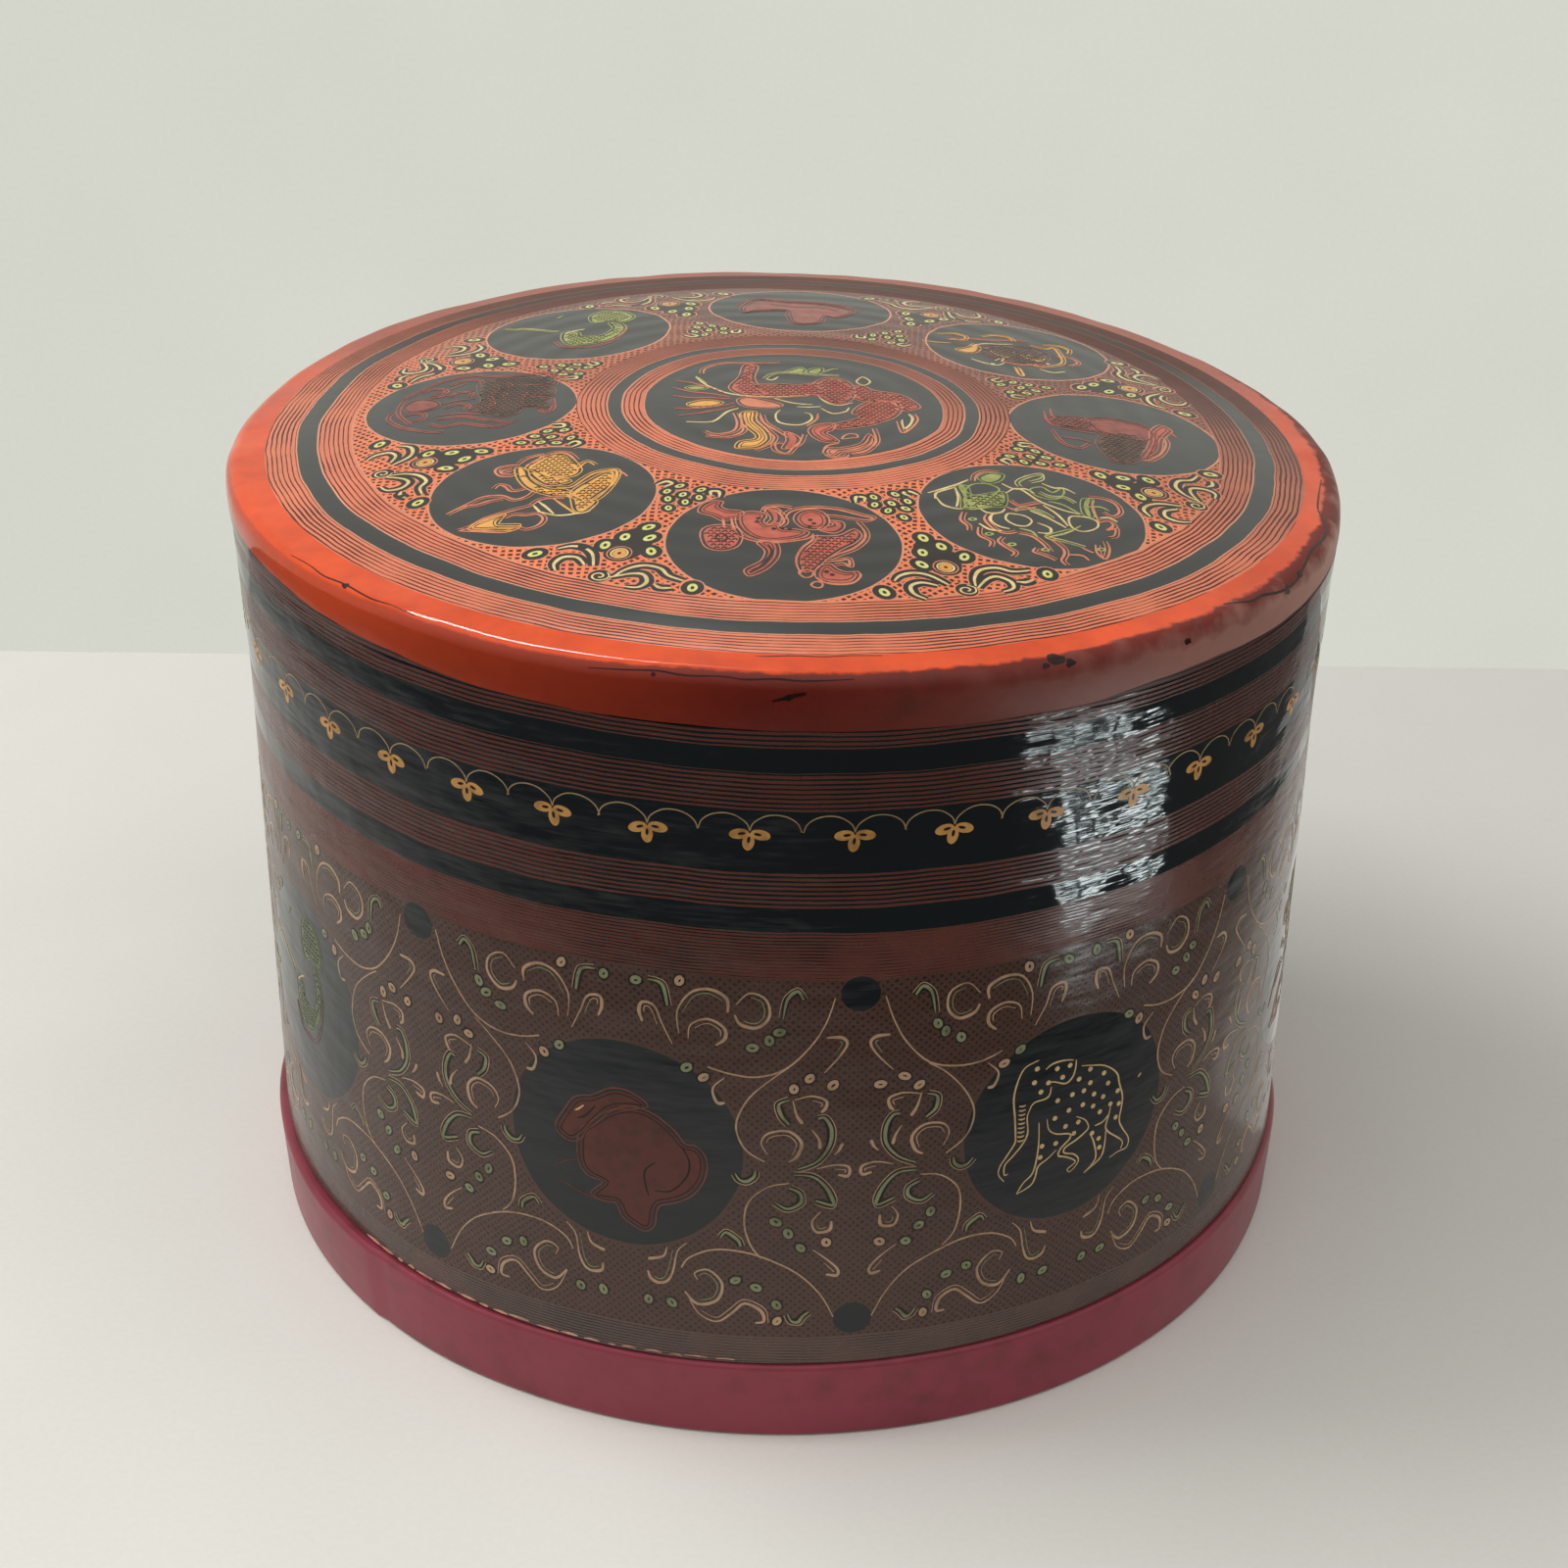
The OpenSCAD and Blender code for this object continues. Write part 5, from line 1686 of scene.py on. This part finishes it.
# The pale line: wear and a painted highlight, thickest at the front left
wear_and_highlight_pen = Pen(on_wall)
along = WEAR_AND_HIGHLIGHT_START
while along < WEAR_AND_HIGHLIGHT_END:
    reach = hand.uniform(1.2, 4.5)
    height = LID_Z + hand.uniform(0.35, 0.6)
    breadth = 0.6 * (WEAR_AND_HIGHLIGHT_END - along) / (WEAR_AND_HIGHLIGHT_END - WEAR_AND_HIGHLIGHT_START) + 0.2
    middle = (along + reach / 2, height + hand.uniform(-0.1, 0.25))
    wear_and_highlight_pen.line([(along, height), middle, (along + reach, height)], (0.1, breadth, 0.12))
    along += reach + hand.uniform(0.1, 1.6)
wear_and_highlight_pen.done("lid_edge_wear_and_highlight", ink_lacquer("edge_wear_and_highlight", WEAR_AND_HIGHLIGHT_PALE, WEAR_AND_HIGHLIGHT_RED))


# Cracks of the shoulder
# Where the thick vermilion has split along the ridge and at the panel's edge, and has flaked off to the
# dark ground under it.
CRACK_DARK = ink(34, 16, 13)
CRACK_RED = ink(70, 26, 18)
shoulder_profile = shoulder_outline[1:-2][::-1]


def on_shoulder(along, down, lift):
    """A place on the shoulder, by the distance round from the front, and the distance down its outside
    from the panel's edge."""
    for (r0, z0), (r1, z1) in zip(shoulder_profile, shoulder_profile[1:]):
        span = math.hypot(r1 - r0, z1 - z0)
        if down <= span:
            break
        down -= span
    share = min(1, down / span)
    radius = r0 + (r1 - r0) * share + (z0 - z1) / span * lift
    height = z0 + (z1 - z0) * share + (r1 - r0) / span * lift
    return lumpy(polar(radius, along / LID_R, height))


RIDGE_CRACK = [
    (-30, 6.8), (-23.7, 6.4), (-19, 6.1), (-14.7, 6.4), (-9, 6.1), (-5.9, 6.3), (-1, 6), (3.1, 6.2),
    (10.8, 5.9),
]
JOINT_CRACK = [(-11.5, 1.8), (-7, 1.1), (-3.1, 0.8), (2, 0.3), (6.6, 0.5), (11, 0.2), (16.1, 0.4)]
RIGHT_CRACK = [
    (148, 3.4), (140, 2.6), (131.6, 2.8), (126, 4.6), (120.1, 5.5), (113, 5), (106.5, 5.9), (101, 6.9),
    (95.6, 6.6), (91, 5.6), (86.9, 5.5), (81.3, 3.8),
]
LEFT_CRACK = [(-96, 5.4), (-90, 5), (-85, 5.3), (-79, 4.9), (-72, 5.4), (-67, 5.2), (-62, 5.5)]
SIDE_SCRATCH = [(-1.6, 9.2), (0.2, 8.7), (1.4, 8.3), (3.5, 7.9)]
CHIPS = [
    (-79.2, 5.1, 0.9), (43.6, 5.2, 1.7), (46, 6.3, 1), (41.6, 6, 0.7), (-19.5, 6.6, 0.5), (98, 7.2, 1.2),
    (104, 6.4, 0.9), (69, 7.6, 0.8), (1, 8.6, 0.7),
]

crack_pen = Pen(on_shoulder)
crack_pen.line(RIDGE_CRACK, (0.1, 0.28, 0.18, 0.3, 0.1))
crack_pen.line(JOINT_CRACK, (0.1, 0.3, 0.2, 0.12))
crack_pen.line(RIGHT_CRACK, (0.15, 0.4, 0.5, 0.35, 0.5, 0.2))
crack_pen.line(LEFT_CRACK, (0.1, 0.2, 0.3, 0.2, 0.1))
crack_pen.line(SIDE_SCRATCH, (0.2, 0.7, 0.3))
for along, down, size in CHIPS:
    rim = [cmath.rect(size * hand.uniform(0.55, 1.15), math.tau * i / 9) for i in range(9)]
    crack_pen.shape([(along + point.real, down + 0.7 * point.imag) for point in rim])
crack_pen.done("shoulder_cracks", ink_lacquer("crack_dark", CRACK_DARK, CRACK_RED), "vermilion_lacquer")


# Floor, light and camera
# A pale cloth under the box and a pale wall behind it, soft light from behind at the left, and the camera
# that took the picture.
FLOOR = ink(240, 238, 232)
BACKDROP = ink(217, 218, 207)
BACKDROP_LIT = ink(150, 150, 144)
BACKDROP_Y = 0.228
MIRROR_MIDDLE = 0.06
MIRROR_SQUEEZE = 0.78
MIRROR_RIGHT = 0.75
MIRROR_FADE = (0.24, 0.37)
FRONT_FADE = (0.2, 0.33)
DARKEST = 0.85
FLECKS = 20
FLECK_POWER = 58
FLECK_NEAR = 0.25
FLECK_DEPTH = 0.095
FLECK_TURN = 52
FLECK_FAN = 24
FLECK_SKEW = 13
FLECK_SPREAD = 0.618
FLECK_LONG = (0.01, 0.036)
FLECK_WIDE = (0.003, 0.009)
ROOM_LEVEL = 0.5
ROOM_LEFT = 0.12
ROOM_ABOVE = 0.74
ROOM_FRONT = 0.42


def stage_sheet(name, corners, colour):
    """A flat sheet of the set. Gives its material's tree and shader, a mottled tint, and its place vector."""
    work = bmesh.new()
    work.faces.new([work.verts.new(corner) for corner in corners])
    sheet = shown(name, work)
    material = bpy.data.materials.new(name)
    material.use_nodes = True
    tree = material.node_tree
    shader = tree.nodes["Principled BSDF"]
    shader.inputs["Roughness"].default_value = 0.9
    shader.inputs["Specular IOR Level"].default_value = 0.1
    place = object_place(tree)
    mottle = (cloud(tree, place, 1.2, 3) + cloud(tree, place, 60)) * 0.5 + 0.3
    shade = tuple(part * 0.86 for part in colour[:3]) + (1,)
    sheet.data.materials.append(material)
    return tree, shader, painted(colour, shade, mottle), place


# The cloth. The lacquer shows it fading into a darker room, and its front throws little light back
tree, shader, tint, place = stage_sheet("floor", [(-3, -3, 0), (3, -3, 0), (3, 3, 0), (-3, 3, 0)], FLOOR)
rays = tree.nodes.new("ShaderNodeLightPath")
parts = tree.nodes.new("ShaderNodeSeparateXYZ")
feed(tree, parts.inputs[0], place)
x, y = [Field(tree, port) * MM for port in parts.outputs[:2]]
mirrored = ((x - MIRROR_MIDDLE) * MIRROR_SQUEEZE).length_with(y - MIRROR_MIDDLE)
mirrored = mirrored + x.calc("MAXIMUM", 0) * MIRROR_RIGHT
for reach, (near, far), ray in (
    (mirrored, MIRROR_FADE, "Is Glossy Ray"),
    (y * -1, FRONT_FADE, "Is Diffuse Ray"),
):
    dark = ((reach - near) / (far - near)).clamped(high=DARKEST)
    tint = painted(tint, (0, 0, 0, 1), dark * Field(tree, rays.outputs[ray]))
feed(tree, shader.inputs["Base Color"], tint)

# The wall, evenly pale to the eye and in reflections, and clear from behind and to the lamp there
tree, shader, tint, place = stage_sheet(
    "backdrop",
    [(-2, BACKDROP_Y, 0), (2, BACKDROP_Y, 0), (2, BACKDROP_Y, 1.6), (-2, BACKDROP_Y, 1.6)],
    BACKDROP,
)
rays = tree.nodes.new("ShaderNodeLightPath")
seen = Field(tree, rays.outputs["Is Camera Ray"]).or_else(Field(tree, rays.outputs["Is Glossy Ray"]))
seen = seen.or_else(Field(tree, rays.outputs["Is Transmission Ray"]))
pale = tree.nodes.new("ShaderNodeEmission")
feed(tree, pale.inputs["Color"], tint)
shader.inputs["Base Color"].default_value = BACKDROP_LIT
lit = tree.nodes.new("ShaderNodeMixShader")
feed(tree, lit.inputs[0], seen)
feed(tree, lit.inputs[1], shader.outputs[0])
feed(tree, lit.inputs[2], pale.outputs[0])
clear = tree.nodes.new("ShaderNodeBsdfTransparent")
facing = tree.nodes.new("ShaderNodeNewGeometry")
mix = tree.nodes.new("ShaderNodeMixShader")
behind = Field(tree, facing.outputs["Backfacing"]).or_else(Field(tree, rays.outputs["Is Shadow Ray"]))
feed(tree, mix.inputs[0], behind)
feed(tree, mix.inputs[1], lit.outputs[0])
feed(tree, mix.inputs[2], clear.outputs[0])
feed(tree, tree.nodes["Material Output"].inputs["Surface"], mix.outputs[0])


def area_lamp(name, shape, size, energy, place, aim):
    """A flat lamp at a place, turned towards another."""
    lamp = bpy.data.lights.new(name, "AREA")
    lamp.shape = shape
    lamp.size = size[0]
    lamp.size_y = size[1]
    lamp.energy = energy
    holder = bpy.data.objects.new(name, lamp)
    holder.location = place
    holder.rotation_euler = (Vector(aim) - holder.location).to_track_quat("-Z", "Y").to_euler()
    bpy.context.scene.collection.objects.link(holder)
    return holder


window = area_lamp("window", "RECTANGLE", (0.6, 0.4), 5.2, (-0.62, 0.12, 0.95), (0, 0, 0.1))
window.visible_glossy = False
# What shows only in the lacquer: a bright bar of the window, a pale thing at the right, and flecks of
# window light on the cloth there
card = area_lamp("pale_card", "RECTANGLE", (0.09, 0.32), 0.028, (0.2, 0.12, 0.003), (0.2, 0.12, 1))
card.rotation_euler.z = math.radians(-33)
card.data.color = (1, 0.98, 0.94)
glints = [area_lamp("window_bar", "RECTANGLE", (0.36, 0.045), 1.9, (-0.17, 0.2, 0.6), (0, -0.1, 0.15))]
for i in range(FLECKS):
    reach = (i + 0.5) / FLECKS
    turn = math.radians(FLECK_TURN + FLECK_FAN * (i * FLECK_SPREAD % 1) - FLECK_SKEW * reach)
    spot = polar(FLECK_NEAR + FLECK_DEPTH * reach, turn, 0.004)
    size = (hand.uniform(*FLECK_LONG), hand.uniform(*FLECK_WIDE))
    energy = FLECK_POWER * size[0] * size[1]
    fleck = area_lamp(f"fleck_{i}", "RECTANGLE", size, energy, spot, spot + Vector((0, 0, 1)))
    fleck.rotation_euler.z += turn
    glints.append(fleck)
for glint in glints:
    glint.data.color = (0.88, 0.98, 0.98)
for lamp in (card, *glints):
    lamp.visible_camera = False
    lamp.visible_diffuse = False

# The room: brighter at the left, dark at the camera's end
world = bpy.data.worlds.new("room")
world.use_nodes = True
tree = world.node_tree
parts = tree.nodes.new("ShaderNodeSeparateXYZ")
feed(tree, parts.inputs[0], tree.nodes.new("ShaderNodeTexCoord").outputs["Generated"])
x, y, z = [Field(tree, port) for port in parts.outputs]
level = x * -ROOM_LEFT + z.calc("MAXIMUM", 0) * ROOM_ABOVE + y.calc("MINIMUM", 0) * ROOM_FRONT + ROOM_LEVEL
room = tree.nodes["Background"]
room.inputs["Color"].default_value = ink(255, 254, 250)
feed(tree, room.inputs["Strength"], level)
bpy.context.scene.world = world

CAMERA_PLACE = Vector((0, -0.4754, 0.3225))
CAMERA_PITCH = math.radians(27.23)
CAMERA_YAW = math.radians(0.06)
CAMERA_ROLL = math.radians(0.69)
FOCAL_PIXELS = 2785
FRAME_PIXELS = 1600
ahead = Vector((
    math.sin(CAMERA_YAW) * math.cos(CAMERA_PITCH),
    math.cos(CAMERA_YAW) * math.cos(CAMERA_PITCH),
    -math.sin(CAMERA_PITCH),
))
right = ahead.cross(Vector((0, 0, 1))).normalized()
upward = right.cross(ahead)
rolled_right = right * math.cos(CAMERA_ROLL) + upward * math.sin(CAMERA_ROLL)
rolled_up = upward * math.cos(CAMERA_ROLL) - right * math.sin(CAMERA_ROLL)
lens = bpy.data.cameras.new("camera")
lens.sensor_width = 36
lens.lens = lens.sensor_width * FOCAL_PIXELS / FRAME_PIXELS
camera = bpy.data.objects.new("camera", lens)
camera_turn = Matrix((rolled_right, rolled_up, -ahead)).transposed().to_4x4()
camera.matrix_world = Matrix.Translation(CAMERA_PLACE) @ camera_turn
bpy.context.scene.collection.objects.link(camera)
bpy.context.scene.camera = camera
bpy.context.scene.view_settings.view_transform = "Standard"
